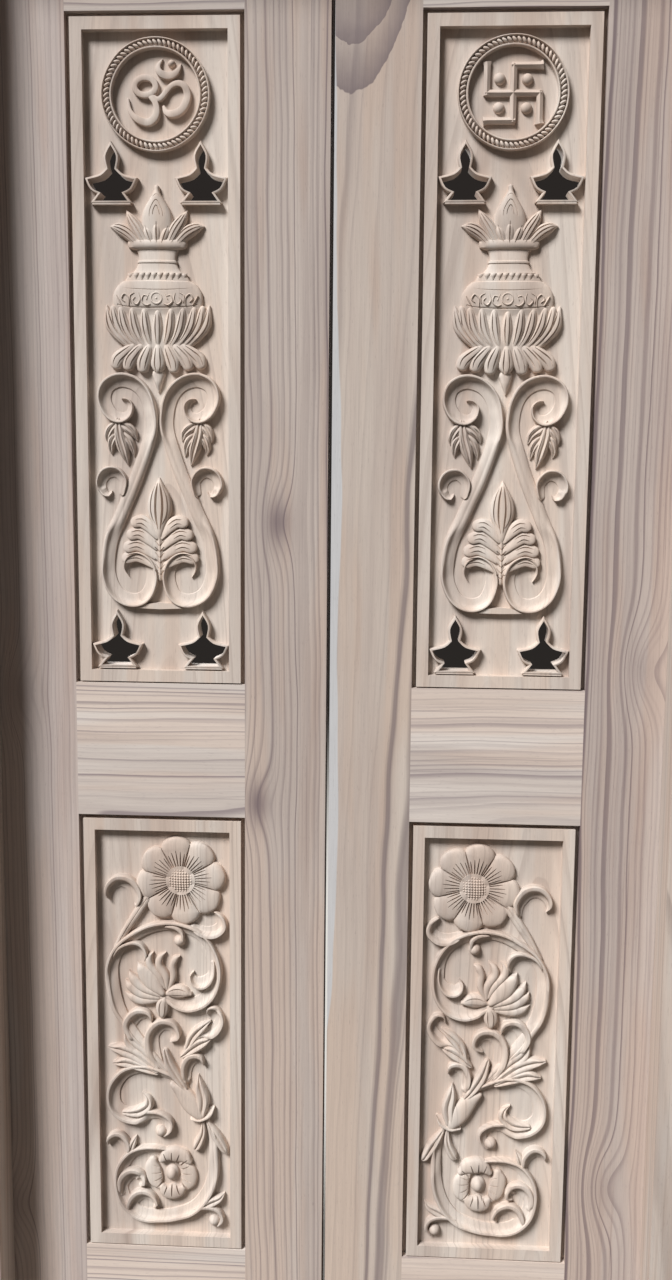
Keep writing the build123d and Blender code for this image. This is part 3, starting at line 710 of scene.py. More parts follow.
def flat(lean):
    """A flat top with softened edges."""
    return [(1.0, 0.0), (0.97, 0.78), (0.86, 0.94), (0.6, 1.0), (-0.6, 1.0), (-0.86, 0.94), (-0.97, 0.78),
            (-1.0, 0.0)]


def roof(lean):
    """Two slopes that meet in a ridge."""
    return [(1.0, 0.0), (0.98, 0.62), (0.0, 1.0), (-0.98, 0.62), (-1.0, 0.0)]


print("petal section:", len(full(0.0)), "points")

# %% [markdown]
# ### V cuts
# A carver's V tool leaves a groove that starts and ends thin. Each cut is a wedge that is taken
# away from the carving: it stands on its sharp edge, and reaches well above the wood.

# %% V cuts
wedge_top, wedge_slope = 14.0, 1.1


def groove(points, spacing=step):
    """A V cut: across, height, half width at the surface, and the level of its bottom."""
    rings = []
    path = smooth(points, spacing)
    for i, (x, z, half, bottom) in enumerate(path):
        hx, hz = heading(path, i)
        half = max(half, 0.15)
        edge = bottom + wedge_slope * half
        rings.append([(x, bottom, z), (x + hz * half, edge, z - hx * half),
                      (x + hz * half, wedge_top, z - hx * half),
                      (x - hz * half, wedge_top, z + hx * half), (x - hz * half, edge, z + hx * half)])
    return shell(rings)


def veins(stroke, shares, start=0.2, end=0.9, width=0.8, depth=2.5):
    """Thin V cuts along a stroke, each beside its middle by a share of its half width."""
    path = smooth(stroke, 4.0)
    first = round(start * (len(path) - 1))
    last = max(first + 1, round(end * (len(path) - 1)))
    lines = []
    for share in shares:
        line = []
        for i in range(first, last + 1):
            hx, hz = heading(path, i)
            x, z, half, rise = path[i]
            swell = math.sin(math.pi * (0.08 + 0.84 * (i - first) / (last - first)))
            line.append((x + hz * half * share, z - hx * half * share, width * swell,
                         rise * 0.95 - depth * swell))
        lines.append(groove(line, 4.0))
    return lines


def ray_cut(centre, angle, profile, stretch=1.0):
    """A V cut that runs away from a centre: rows of distance, half width and level."""
    cos, sin = math.cos(angle), math.sin(angle)
    return groove([(centre[0] + r * cos, centre[1] + stretch * r * sin, half, bottom)
                   for r, half, bottom in profile])


print("a vein:", len(veins([(0, 0, 5, 9), (0, 30, 5, 9)], (0.0,))[0][0]), "points")

# %% Round forms and blocks


def lathe(centre, profile, steps=96):
    """A ring or dome round a centre: profile points are (radius, height), from inside to outside."""
    points, faces = [], []
    rows = len(profile)
    for k in range(steps):
        angle = 2 * math.pi * k / steps
        for r, h in profile:
            points.append((centre[0] + r * math.cos(angle), h, centre[1] + r * math.sin(angle)))
    for k in range(steps):
        for j in range(rows):
            a, b = k * rows + j, k * rows + (j + 1) % rows
            c, d = ((k + 1) % steps) * rows + (j + 1) % rows, ((k + 1) % steps) * rows + j
            faces.append((a, b, c, d))
    return points, faces


def dome(centre, radius, rise, stretch=1.0, steps=32):
    """A boss, as much longer upwards as stretch says."""
    rows = 7
    points, faces = [(centre[0], root, centre[1])], []
    for i in range(rows + 1):
        angle = math.pi / 2 * i / (rows + 0.5)
        r = radius * math.cos(angle)
        h = rise * math.sin(angle) ** 0.9 if i else root
        for k in range(steps):
            a = 2 * math.pi * k / steps
            points.append((centre[0] + r * math.cos(a), h, centre[1] + stretch * r * math.sin(a)))
    points.append((centre[0], rise, centre[1]))
    top = len(points) - 1
    for k in range(steps):
        n = (k + 1) % steps
        faces.append((0, 1 + n, 1 + k))
        for i in range(rows):
            a = 1 + i * steps
            faces.append((a + k, a + n, a + steps + n, a + steps + k))
        faces.append((1 + rows * steps + k, 1 + rows * steps + n, top))
    return points, faces


def prism(outline, low, high):
    """A straight-sided block over an outline (across, height), between two levels."""
    return shell([[(x, low, z) for x, z in outline], [(x, high, z) for x, z in outline]])


def mirror(piece):
    """The mirror image across the plank's centre line."""
    points, faces = piece
    return [(-x, y, z) for x, y, z in points], faces


def both(pieces):
    """Pieces of one half, and their mirror images."""
    return pieces + [mirror(piece) for piece in pieces]


print("a boss:", len(dome((0, 0), 5, 5)[0]), "points")

# %% [markdown]
# ### The tall plank's lyre
# Two scroll bands run up from the lower loops, cross the middle of their bend and end in volutes
# under the lotus. Short hooks leave them at the sides.

# %% Lyre scrolls
lyre = [
    (49, 386, 2.0, 9), (43.5, 384.5, 3.2, 10), (38.5, 378, 4.2, 11), (42, 366.5, 5.5, 11.5),
    (53, 362, 7.5, 11.5), (66.5, 369, 8.5, 11.5), (74.5, 387, 9, 11.5), (69.5, 404, 9.5, 11.5),
    (52.5, 412, 9.8, 11.5), (32.5, 407, 9.8, 11.5), (18.5, 392, 9.5, 11.5), (11.5, 368, 9.3, 11.5),
    (12.5, 340, 9.3, 11.5), (28.5, 290, 9.3, 11.5), (51.5, 235, 9.3, 11.5), (65.5, 203, 9.5, 11.5),
    (71.5, 175, 9.5, 11.5), (71, 148, 9.5, 11.5), (62, 126, 9.5, 11.5), (46.5, 115.5, 9.5, 11.5),
    (29.5, 115.5, 9.5, 11.5), (17.5, 125, 9, 11.5), (11.5, 146, 8.5, 11.5), (16.5, 165, 7.5, 11.5),
    (30, 174.5, 6.5, 11), (42, 170, 5.5, 10.5), (46.5, 158, 3.5, 9.5), (43, 146, 0, 7)]
side_hook = [(51.5, 262, 5, 10), (50, 278, 6.5, 10.5), (60, 289, 7.5, 11), (73, 287, 8, 11),
             (80, 276, 7, 10.5), (78, 264, 5.5, 10), (70, 259, 3.5, 9), (65.5, 264, 0.5, 7)]
web = [(-30, 104), (0, 103), (30, 104), (20, 109.5), (0, 112), (-20, 109.5)]
upper = both([sweep(lyre, scroll), sweep(side_hook, scroll)])
upper.append(prism(web, root, 8.5))
upper.append(sweep([(0, 419, 9, 8), (0, 408, 5.5, 8), (0, 396, 1, 6)], rounded))
print("lyre:", len(upper), "shells")

# %% Leaves that hang under the volutes
hanging = [
    [(56, 358, 4, 9), (53.5, 338, 7.5, 10.5), (48, 318, 7.5, 10), (43, 298, 0.3, 6)],
    [(58, 355, 4, 8), (65, 347, 7, 9.5), (70, 337, 5, 8), (71, 329, 0.5, 5)],
    [(57, 341, 4, 8), (63, 332, 6.5, 9), (66, 321, 4, 7), (65, 312, 0.3, 4)],
    [(52, 355, 4, 8), (43, 349, 7, 9.5), (35, 341, 5.5, 8), (31, 331, 0.5, 5)],
    [(50, 341, 4, 8), (42, 332, 6.5, 9), (37, 321, 4.5, 7), (35, 310, 0.3, 4)],
]
cuts = []
for lobe in hanging:
    upper += both([sweep(lobe, creased)])
    cuts += both(veins(lobe, (-0.5, 0.5), 0.3, 0.8, 0.7, 2.4))
print("lyre and hanging leaves:", len(upper), "shells")

# %% [markdown]
# ### Palmette
# A pointed bud stands between the arms of the lyre, with lobes that arch out one above the other
# and droop at their ends. Each lobe has a few V cuts along it.

# %% Palmette
lobe_lines = [
    [(3, 203, 5), (13, 215, 7.5), (24, 223, 8.5), (32, 222, 8)],
    [(3, 188, 5), (15, 199, 7.5), (28, 207, 8.5), (38, 205, 8)],
    [(3, 174, 5), (16, 184, 7.5), (31, 191, 8.5), (43, 188, 8)],
    [(3, 160, 5), (17, 170, 7.5), (32, 176, 8.5), (45, 173, 8)],
]
for number, line in enumerate(lobe_lines):
    lobe = [(x, z, half, 10.6 - 0.7 * number) for x, z, half in line]
    upper += both([sweep(lobe, lapped)])
    cuts += both(veins(lobe, (-0.35, 0.35), 0.45, 1.0, 0.8, 3.2))
upper.append(sweep([(0, 196, 3, 11), (0, 215, 8.5, 11.6), (0, 238, 16.5, 11.6), (0, 256, 14.5, 11.6),
                    (0, 270, 7, 11.3), (0, 282, 0.5, 8)], full))
for bow, width, start in ((4.8, 1.6, 212), (11.5, 0.8, 218)):
    cuts += both([groove([(0.3 * bow, start, 0.4, 9), (0.8 * bow, 228, width, 7), (bow, 242, width, 6.4),
                          (0.8 * bow, 260, width, 7.5), (0.1 * bow, 279, 0.3, 9)])])
upper.append(sweep([(0, 146, 5, 9), (0, 175, 6.5, 9.5), (0, 204, 5, 10)], roof))
for k in range(6):
    z = 150 + 8.0 * k
    cuts += both([groove([(0.4, z, 1.0, 6.0), (6.5, z + 6.5, 0.5, 7.0)])])
print("with the palmette:", len(upper), "shells,", len(cuts), "cuts")

# %% [markdown]
# ### Overflowing pot, double lotus and coconut
# The pot is turned in the half round: at each height it has a width and a height above the ground.
# Petals overlap like roof tiles, the middle one on top, so each next one stands a little lower.

# %% Pot
pot_profile = [
    (594.5, 35.0, 8.0), (594, 37.5, 10.0), (592, 39.5, 11.3), (588, 39.8, 11.6), (584.5, 38.5, 11.0),
    (582.5, 34.0, 9.0), (581.5, 29.0, 7.2), (577, 26.2, 7.4), (572, 25.0, 8.0), (568, 25.0, 8.2),
    (567, 26.6, 9.8), (564.8, 27.0, 10.0), (563.8, 25.8, 8.8), (558, 28.5, 9.0), (553, 32.5, 9.6),
    (551.6, 36.5, 10.0), (550.8, 38.5, 8.6), (541.6, 43.5, 8.9), (540.6, 47.5, 10.4), (535, 54.0, 10.9),
    (527, 59.0, 11.0), (518, 60.5, 10.8), (510, 60.3, 10.2), (504, 59.5, 8.8), (499, 58.0, 7.2),
    (490, 52.0, 6.0), (480, 42.0, 5.0)]


def turned(profile):
    """A half-round form that stands upright: rows of height, half width and height above the ground."""
    rings = []
    for z, half, rise in profile:
        ring = []
        for k in range(29):
            angle = math.pi * k / 28
            ring.append((half * math.cos(angle), rise * math.sin(angle) ** 0.45, z))
        ring.append((-half, root, z))
        ring.append((half, root, z))
        rings.append(ring)
    return shell(rings)


upper.append(turned(pot_profile))


def pot_line(level, half, width, depth):
    """A line cut round the pot's belly."""
    course = ((-1, 4.5, 7.8), (-0.8, 1.8, 9.2), (-0.4, 0.4, 9.9), (0, 0, 10.1), (0.4, 0.4, 9.9),
              (0.8, 1.8, 9.2), (1, 4.5, 7.8))
    return groove([(share * half, level + up, width, high - depth) for share, up, high in course])


cuts.append(pot_line(506.5, 54.0, 1.3, 1.8))
cuts.append(pot_line(530.0, 50.0, 0.7, 0.2))
print("pot:", len(pot_profile), "levels")

# %% Rosette and curls on the pot's shoulder
ring_of_rosette = [(6.0, root), (6.0, 10.6), (6.6, 11.7), (7.6, 11.7), (8.4, 10.6), (8.4, root)]
upper.append(lathe((-1, 519), ring_of_rosette, 40))
upper.append(dome((-1, 519), 3.6, 11.9, steps=16))
curls = [
    [(9, 511.5, 0.8, 11.4), (15, 510, 1.9, 12.0), (20.5, 515, 2.1, 12.0), (18, 522.5, 1.8, 12.0),
     (13, 521.5, 1.0, 11.6)],
    [(10, 526, 0.8, 11.2), (14, 517.5, 1.6, 11.8)],
    [(24.5, 526, 0.8, 11.2), (22.8, 517, 1.9, 11.8), (27.5, 511, 2.1, 11.7), (32.5, 516, 1.9, 11.5),
     (29, 520.5, 1.0, 11.2)],
    [(30, 526, 0.6, 11.0), (36, 522, 1.8, 11.4), (35, 513, 0.8, 11.0)],
    [(38, 509.5, 0.8, 10.8), (38, 519, 1.9, 11.3), (43.5, 524.5, 2.0, 11.0), (47.5, 518.5, 1.8, 10.8),
     (43.5, 514.5, 1.0, 10.5)],
    [(47, 509.5, 0.8, 10.0), (51, 516, 1.8, 10.4), (54.5, 522.5, 0.8, 9.8)],
]
upper += both([sweep(stroke, rounded, spacing=1.6, sink=False) for stroke in curls])
print("curls on the pot:", 2 * len(curls))

# %% Lotus petals
bowl = [(505, 62, 6.5), (495, 64, 7.0), (480, 61, 7.6), (466, 54, 8.2), (456, 43, 8.4), (447, 49, 7.0),
        (437, 55, 6.2), (431, 56, 5.0)]
upper.append(turned(bowl))
upper_petals = [(0, 0, 503), (8, 18, 506), (16, 34, 507), (24, 49, 508), (31, 60, 509), (37, 69, 511)]
lower_petals = [(0, 0, 418), (11, 21, 426), (22, 41, 429), (33, 58, 431)]
for number, (x0, x1, z1) in enumerate(upper_petals):
    top = 12.0 - 0.6 * number
    lift = z1 - 455
    last = number == len(upper_petals) - 1
    petal = [(x0, 455, 4.0, top * 0.80), (x0 + 0.50 * (x1 - x0), 455 + 0.25 * lift, 5.8, top * 0.93),
             (x0 + 0.84 * (x1 - x0), 455 + 0.55 * lift, 7.6, top),
             (x1, z1 - (2 if last else 4), 1.5 if last else 4.6, top * (0.8 if last else 0.96))]
    body, lines = sweep(petal, full), veins(petal, (-0.4, 0.4), 0.1, 0.98, 1.0, 3.6)
    upper += both([body]) if number else [body]
    cuts += both(lines) if number else lines
for number, (x0, x1, z1) in enumerate(lower_petals):
    top = 11.6 - 0.6 * number
    drop = 457 - z1
    petal = [(x0, 457, 5.0, top * 0.85), (x0 + 0.4 * (x1 - x0), 457 - 0.3 * drop, 8.0, top),
             (x0 + 0.85 * (x1 - x0), 457 - 0.68 * drop, 9.8, top),
             (x1, z1, 7.6 if number else 0.5, top * 0.92)]
    body, lines = sweep(petal, full, cap=0.6), veins(petal, (-0.4, 0.4), 0.1, 0.95, 1.0, 3.6)
    upper += both([body]) if number else [body]
    cuts += both(lines) if number else lines
print("lotus petals:", 2 * (len(upper_petals) + len(lower_petals)) - 2)

# %% Coconut and mango leaves
coconut = [(0, 600, 18, 10), (0, 612, 21, 11), (0, 624, 20.5, 11.6), (0, 634, 17.0, 11.6),
           (0, 643, 11.5, 11.6), (0, 650, 6.8, 11.3), (0, 656, 3.8, 11), (0, 661, 3.6, 10.5)]
upper.append(sweep(coconut, full))
mango_leaves = [
    [(26, 590, 6, 9), (39, 603, 8.5, 10.5), (52, 610, 7, 9.5), (63, 612, 0.5, 6)],
    [(16, 590, 6.5, 9.5), (25, 607, 9, 11.4), (33.5, 620, 7, 10.5), (41, 633, 0.5, 7)],
    [(7.0, 590, 5, 10), (11.0, 600, 6.5, 11.8), (14.0, 608, 5, 11), (16.5, 616, 0.5, 8)],
]
for number, leaf in enumerate(mango_leaves):
    upper += both([sweep(leaf, full)])
    cuts += both(veins(leaf, (-0.55, 0.0, 0.55) if number < 2 else (0.0,), 0.05, 0.9, 1.0, 3.0))
front_leaf = [(0, 590, 5, 10), (0, 602, 7, 12), (0, 612, 5.5, 12), (0, 622, 0.5, 9)]
upper.append(sweep(front_leaf, full))
cuts += veins(front_leaf, (0.0,), 0.05, 0.9, 1.1, 3.0)
for half, low, top in ((14.0, 622, 652), (9.0, 624, 645), (4.5, 626, 638)):
    cuts.append(groove([(-half, low, 0.4, 10.2), (-0.85 * half, low + 0.45 * (top - low), 0.6, 9.9),
                        (0, top, 0.6, 10.1), (0.85 * half, low + 0.45 * (top - low), 0.6, 9.9),
                        (half, low, 0.4, 10.2)]))
print("tall plank so far:", len(upper), "shells,", len(cuts), "cuts")

# %% [markdown]
# ### Medallion and oil lamps
# The medallion is a ring with two plain ridges, and a rope lies in the channel between them. The
# four oil lamps are sawn right through the plank, each with a raised rim and a foot.

# %% Medallion ring
medallion = (0.0, 777.5)
ring_profile = [
    (57.5, root), (57.5, 8.5), (58.2, 10.0), (59.4, 10.2), (60.2, 9.0), (60.8, 6.0), (61.6, 4.6),
    (68.2, 4.6), (69.0, 6.0), (69.5, 9.4), (70.2, 10.6), (71.0, 10.4), (71.5, 9.0), (71.5, root)]
upper.append(lathe(medallion, ring_profile))
print("medallion ring:", 2 * ring_profile[-1][0], "mm across")

# %% Oil lamps
lamp_across, lamp_feet = 59.5, (20.0, 639.0)


def lamp_outline(grow):
    """The lamp's outline, grown outwards, with a curved flame and bowl."""
    flame = smooth([(0, 75), (7, 61), (4.5, 45)], 4.0)
    bowl = smooth([(4.5, 45), (14, 36.5), (31, 32)], 4.0)
    belly = smooth([(31, 32), (25, 20.5), (14, 15)], 4.0)
    half = flame + bowl[1:] + belly[1:] + [(22, 4.5), (0, 4.5)]
    outline = half + [(-x, z) for x, z in half[-2:0:-1]]
    if not grow:
        return outline
    grown = []
    count = len(outline)
    for i, (x, z) in enumerate(outline):
        x0, z0 = outline[i - 1]
        x1, z1 = outline[(i + 1) % count]
        a = Vector((x - x0, z - z0)).normalized()
        b = Vector((x1 - x, z1 - z)).normalized()
        normal = Vector((-(a.y + b.y), a.x + b.x)).normalized()
        spread = min(2.2, 1 / max(0.35, normal.dot(Vector((-a.y, a.x)))))
        grown.append((x + normal.x * grow * spread, z + normal.y * grow * spread))
    return grown


def lamp_rim(x, z):
    """The raised rim, as stacked outlines that round it over, and its foot."""
    rings = []
    for grow, level in ((3.0, root), (3.0, 8.5), (2.2, 10.4), (0.9, 11.0)):
        rings.append([(x + px, level, z + pz) for px, pz in lamp_outline(grow)])
    foot = prism([(x - 26, z), (x + 26, z), (x + 17, z + 16), (x - 17, z + 16)], root, 10.0)
    return [shell(rings), foot]


holes = []
for x in (-lamp_across, lamp_across):
    for z in lamp_feet:
        upper += lamp_rim(x, z)
        holes.append(prism([(x + px, z + pz) for px, pz in lamp_outline(0.0)], -30.0, 20.0))
print("lamps:", len(holes))

# %% [markdown]
# ### Signs in the medallions
# Each leaf carries a traditional sacred sign of the temple. The left one is a set of curved strokes
# with flat tops. The right one is four bent bars with a ridge, and four dots between them.

# %% Signs
left_sign = []
for start, end in ((20, 210), (200, 390)):
    arc = [math.radians(start + (end - start) * k / 6) for k in range(7)]
    bow = [(-13.8 + 14 * math.cos(a), 788.5 + 11 * math.sin(a), 4.0, 8.5) for a in arc]
    left_sign.append(sweep(bow, flat, (False, False)))
left_sign.append(sweep([(-37, 773, 1.5, 7), (-34, 758, 3, 9), (-25, 748, 4.5, 9), (-12, 743.5, 5, 7.5),
                        (-2, 748, 5, 9), (1.5, 758, 4.5, 9), (-0.5, 768, 4, 9), (-6, 775, 3.5, 9)], flat))
left_sign.append(sweep([(-4, 776, 3, 9), (3, 772, 3.5, 9), (9, 776, 3.5, 9), (14, 783, 3.5, 7.5),
                        (21, 789.5, 3.5, 9), (30, 792, 4, 9), (38, 788, 4.5, 9), (41.5, 778, 5, 7.5),
                        (39, 766, 5, 9), (32, 757, 5, 9), (22, 753.5, 5, 9), (14, 756, 4, 7.5),
                        (10.5, 763, 2, 7)], flat))
left_sign.append(sweep([(9, 823, 0.5, 6), (3.5, 814, 3, 9), (5.5, 805.5, 4.5, 9), (15, 801.5, 5, 7.5),
                        (25, 803.5, 4.5, 9), (31, 811, 2.5, 9), (33, 817, 0.3, 6)], flat))
left_sign.append(dome((20.5, 817), 5.0, 7.5, steps=20))

right_sign = []
for quarter in range(4):
    c, s = (1, 0, -1, 0)[quarter], (0, 1, 0, -1)[quarter]
    bar = [(0, 0, 4.2, 8), (0, 36, 4.2, 8)]
    arm = [(-3, 34, 4.2, 8), (20, 34, 4.2, 8), (34, 34, 4.6, 8), (38, 34.5, 6.0, 8)]
    for stroke in (bar, arm):
        placed = [(c * x - s * z, 777.5 + s * x + c * z, half, rise) for x, z, half, rise in stroke]
        right_sign.append(sweep(placed, roof, (False, False), sink=False))
    right_sign.append(dome((c * 18 - s * 17.5, 777.5 + s * 18 + c * 17.5), 7.5, 7.5, steps=24))
print("signs:", len(left_sign), len(right_sign))

# %% [markdown]
# ### The short plank's vine
# A vine leaves the large flower at the top, turns in a circle round a lotus, crosses itself and
# turns again round a small flower. Its bands have a bead along the outer side of each bend and a
# hollow beside it. The small leaves that curl over are wider in the crest and deeper in the hollow.
# The strokes' names say what each one is.

# %% Vine
vine = {
    "upper circle": [
        (-5, 386, 6), (11, 378, 8), (33, 371, 9), (55, 378, 9), (70, 396, 8), (74, 425, 9), (67, 455, 7),
        (48, 477, 7), (18, 488, 7), (-12, 486, 7), (-39, 474, 7), (-62, 455, 7), (-74, 430, 8),
        (-75, 400, 9), (-69, 370, 9), (-57, 345, 8), (-39, 318, 7), (1, 272, 4)],
    "flower stem": [(-24, 528, 6), (-39, 505, 6), (-55, 480, 5), (-69, 455, 3.5)],
    "top curl": [
        (-39, 518, 3), (-38, 535, 8), (-49, 550, 9.5), (-64, 553, 9), (-76, 544, 7), (-79, 533, 4),
        (-75, 524, 0)],
    "outer ball curl": [
        (42, 488, 4), (57, 481, 7), (72, 481, 8), (83, 490, 7.5), (82, 502, 5.5), (75, 509, 3)],
    "hanging ball curl": [(6, 486, 4), (15, 484, 6), (23, 478, 6.5), (25, 469, 4)],
    "inner crescent": [
        (70, 436, 3), (68, 418, 5), (58, 406, 8), (46, 406, 7), (40, 416, 3), (43, 422, 0)],
    "inner curl": [
        (-72, 438, 3), (-62, 452, 5), (-47, 459, 5), (-35, 457, 6), (-28, 446, 5), (-29, 434, 0)],
    "left leaf curl": [(-43, 318, 6), (-51, 338, 9), (-40, 354, 9.5), (-25, 354, 7), (-19, 343, 1)],
    "middle leaf curl": [
        (-5, 272, 4), (-17, 300, 9), (-18, 324, 9.5), (-6, 339, 9.5), (10, 338, 8.5), (17, 325, 6),
        (9, 317, 2)],
    "right ball curl": [
        (31, 306, 4), (51, 322, 7), (71, 334, 8), (80, 350, 6.5), (74, 365, 5.5), (65, 365, 3.5),
        (62, 358, 1)],
    "right leaf curl": [(31, 258, 5), (31, 276, 8), (38, 289, 9), (50, 290, 7), (55, 282, 2)],
    "middle scroll": [
        (21, 252, 2), (1, 264, 5), (-29, 272, 7), (-57, 265, 8), (-74, 243, 8.5), (-75, 218, 9),
        (-62, 203, 10), (-42, 199, 11), (-23, 202, 8), (-8, 201, 6.5), (4, 192, 7), (4, 181, 5.5),
        (-2, 173, 3)],
    "collar": [(39, 199, 3), (51, 202, 6), (63, 209, 6), (70, 216, 2)],
    "lower circle": [
        (61, 196, 3), (69, 170, 6), (71, 140, 7), (69, 110, 8), (59, 82, 8), (41, 60, 8), (15, 48, 8.5),
        (-13, 44, 8.5), (-41, 48, 8.5), (-60, 66, 8.5), (-67, 92, 8.5), (-64, 118, 8), (-51, 138, 7),
        (-33, 147, 6), (-13, 149, 5), (1, 147, 3)],
    "outer leaf curl": [(-57, 142, 4), (-60, 156, 7.5), (-70, 166, 8.5), (-81, 162, 6), (-84, 154, 1)],
    "corner ball curl": [(43, 56, 3), (59, 58, 6), (74, 54, 6.5), (80, 44, 5.5), (76, 35, 3)],
    "inner curl 1": [
        (-65, 78, 4), (-62, 98, 8.5), (-51, 109, 9), (-39, 106, 8), (-35, 96, 5), (-40, 92, 1)],
    "inner curl 2": [(-55, 52, 5), (-48, 68, 8.5), (-37, 77, 9), (-24, 74, 8), (-16, 64, 5), (-19, 58, 1)],
}
balls = [(22.5, 467, 8.5), (-7, 177, 8.5), (71, 40, 8.5)]
lower = []
for name, stroke in vine.items():
    section = curl if "curl" in name else vine_band
    lower.append(sweep([(x, z, half * 1.08, 11.8) for x, z, half in stroke], section))
for x, z, size in balls:
    lower.append(dome((x, z), size, 12.0, steps=24))
print("vine:", len(vine), "strokes and", len(balls), "balls")

# %% Leaves of the vine
leaves = {
    "lotus petal 1": [(6, 394, 3), (13, 413, 4.5), (12, 430, 4.5), (17, 441, 4), (23, 444, 0)],
    "lotus petal 2": [(4, 396, 3), (3, 413, 5), (-7, 430, 5), (-5, 442, 4), (3, 449, 0)],
    "lotus petal 3": [(1, 398, 3), (-7, 414, 5), (-20, 430, 5), (-21, 442, 4), (-15, 449, 0)],
    "lotus petal 4": [(-3, 390, 5), (-17, 405, 12), (-30, 421, 9), (-38, 434, 0)],
    "lotus petal 5": [(-7, 386, 4), (-31, 396, 6), (-44, 408, 6), (-51, 421, 0)],
    "lotus petal 6": [(-9, 382, 4), (-33, 386, 6), (-49, 397, 6), (-56, 406, 0)],
    "lotus petal 7": [(-11, 378, 4), (-31, 376, 6), (-46, 380, 5.5), (-57, 387, 0)],
    "right sepal": [(4, 388, 3), (14, 391, 9), (26, 391, 9), (37, 388, 3)],
    "lower sepal": [(1, 382, 3), (-2, 373, 8.5), (-3, 361, 8.5), (-3, 350, 2)],
    "middle leaf": [(31, 300, 3), (40, 322, 7), (54, 338, 6), (66, 348, 1)],
    "right leaf": [(25, 294, 3), (40, 306, 8), (54, 315, 8), (67, 321, 1)],
    "acanthus lobe 1": [(-13, 276, 5), (-33, 296, 9.5), (-50, 311, 8.5), (-58, 327, 1.5)],
    "acanthus lobe 2": [(-13, 272, 5), (-41, 292, 9), (-63, 301, 8.5), (-80, 304, 2.5)],
    "acanthus lobe 3": [(-13, 268, 4), (-39, 277, 7.5), (-58, 282, 8), (-74, 280, 2)],
    "scroll's leaf": [(-59, 205, 4), (-39, 206, 8), (-25, 216, 7), (-25, 228, 4), (-34, 236, 0)],
    "spine": [(1, 300, 4), (7, 280, 7), (17, 262, 7), (29, 246, 4)],
    "bud": [(11, 250, 4), (25, 238, 10), (39, 218, 12), (49, 205, 8)],
    "bud's petal": [(53, 208, 6), (55, 228, 9), (51, 248, 7), (49, 266, 0)],
    "left drop": [(55, 193, 2), (54, 175, 5), (46, 156, 6), (41, 150, 0)],
    "right drop": [(63, 192, 3), (75, 172, 7), (87, 152, 5), (92, 146, 0)],
    "pointed leaf": [(-53, 140, 2), (-49, 155, 5), (-43, 168, 0)],
    "corner leaf": [(49, 60, 3), (65, 68, 7), (79, 76, 5), (86, 84, 0)],
}
# the lotus petals lap like tiles, from the front one (4) back to each side
petal_levels = {"1": 9.6, "2": 10.4, "3": 10.9, "4": 12.0, "5": 10.8, "6": 9.8, "7": 8.8}
lower_cuts = []
for name, stroke in leaves.items():
    section = full if name.startswith("lotus") or name == "bud" or "sepal" in name else creased
    level = petal_levels.get(name[-1], 11.0)
    stroke = [(x, z, half * 1.1, level) for x, z, half in stroke]
    lower.append(sweep(stroke, section))
    if "sepal" in name:
        lower_cuts += veins(stroke, (-0.42, 0.42), 0.1, 0.9, 0.9, 3.0)
print("leaves of the vine:", len(leaves))

# %% [markdown]
# ### The two flowers
# The large flower has eight broad petals that overlap a little, so every second one stands lower.
# Fine cuts run out from its heart, and a deeper one parts each two petals. The small flower has two
# petals behind and two in front, round a tall boss.

# %% Large flower
flower, flower_reach, petal_half = (25.0, 556.5), 64.0, 22.0
for k in range(8):
    angle = math.radians(8 + 45 * k)
    cx, cz = math.cos(angle), math.sin(angle)
    reach = flower_reach - 0.72 * petal_half
    rows = ((12, 8, 8.0), (30, 17.5, 9.2), (reach, petal_half, 10.6 - 0.8 * (k % 2)))
    petal = [(flower[0] + r * cx, flower[1] + r * cz, half, rise) for r, half, rise in rows]
    lower.append(sweep(petal, full, cap=0.72))
    for m in range(-2, 3):
        fine = ((21, 0.9, 4.6), (33, 0.9, 5.2), (45 - 2.5 * abs(m), 0.35, 8.0))
        lower_cuts.append(ray_cut(flower, angle + math.radians(8.5 * m), fine))
    parting = ((21, 1.0, 4.0), (38, 1.3, 3.4), (56, 0.5, 5.0))
    lower_cuts.append(ray_cut(flower, angle + math.radians(22.5), parting))
lower.append(dome(flower, 22.5, 9.8))
print("large flower:", 2 * flower_reach, "mm across")

# %% Small flower
small_petals = [
    [(-19, 131, 6, 7.4), (-20, 122, 11, 7.8), (-18, 110, 12, 7.8), (-15, 99, 11, 7.6), (-10, 92, 6, 7.4)],
    [(25, 127, 6, 7.4), (32, 118, 11, 7.8), (34, 107, 12, 7.8), (32, 97, 11, 7.6), (26, 90, 6, 7.4)],
    [(-6, 133, 5, 10), (3, 141, 10, 10.4), (14, 142, 12, 10.4), (26, 139, 10.5, 10), (34, 132, 5, 10)],
    [(-5, 90, 5, 10), (0, 84, 10, 10.4), (9, 83, 12, 10.4), (19, 85, 10, 10), (26, 91, 5, 10)],
]
small = (9.0, 112.0)
for petal in small_petals:
    lower.append(sweep(petal, full))
for k in range(16):
    if k % 4 == 2:
        continue
    fine = ((10, 0.9, 3.6), (22, 0.9, 5.0), (30, 0.4, 7.0))
    lower_cuts.append(ray_cut(small, math.radians(22.5 * k), fine, 1.15))
for k in range(4):
    parting = ((10, 1.0, 3.5), (22, 1.2, 3.0), (33, 0.6, 4.0))
    lower_cuts.append(ray_cut(small, math.radians(45 + 90 * k), parting))
lower.append(dome(small, 10.5, 7.5, 1.25, 24))
lower.append(dome(small, 8.0, 11.5, 1.35, 24))
print("short plank:", len(lower), "shells,", len(lower_cuts), "cuts")

# %% [markdown]
# ### Joining the carving to its plank
# Every stroke is a closed shell whose root is just under the ground. Boolean modifiers join them
# all to the plank, then cut the V grooves and the lamps. The plank itself has the sizes of its CAD
# node: a field, a tongue all round that sits in the groove of the stiles and rails, and a border
# round the sunk ground.

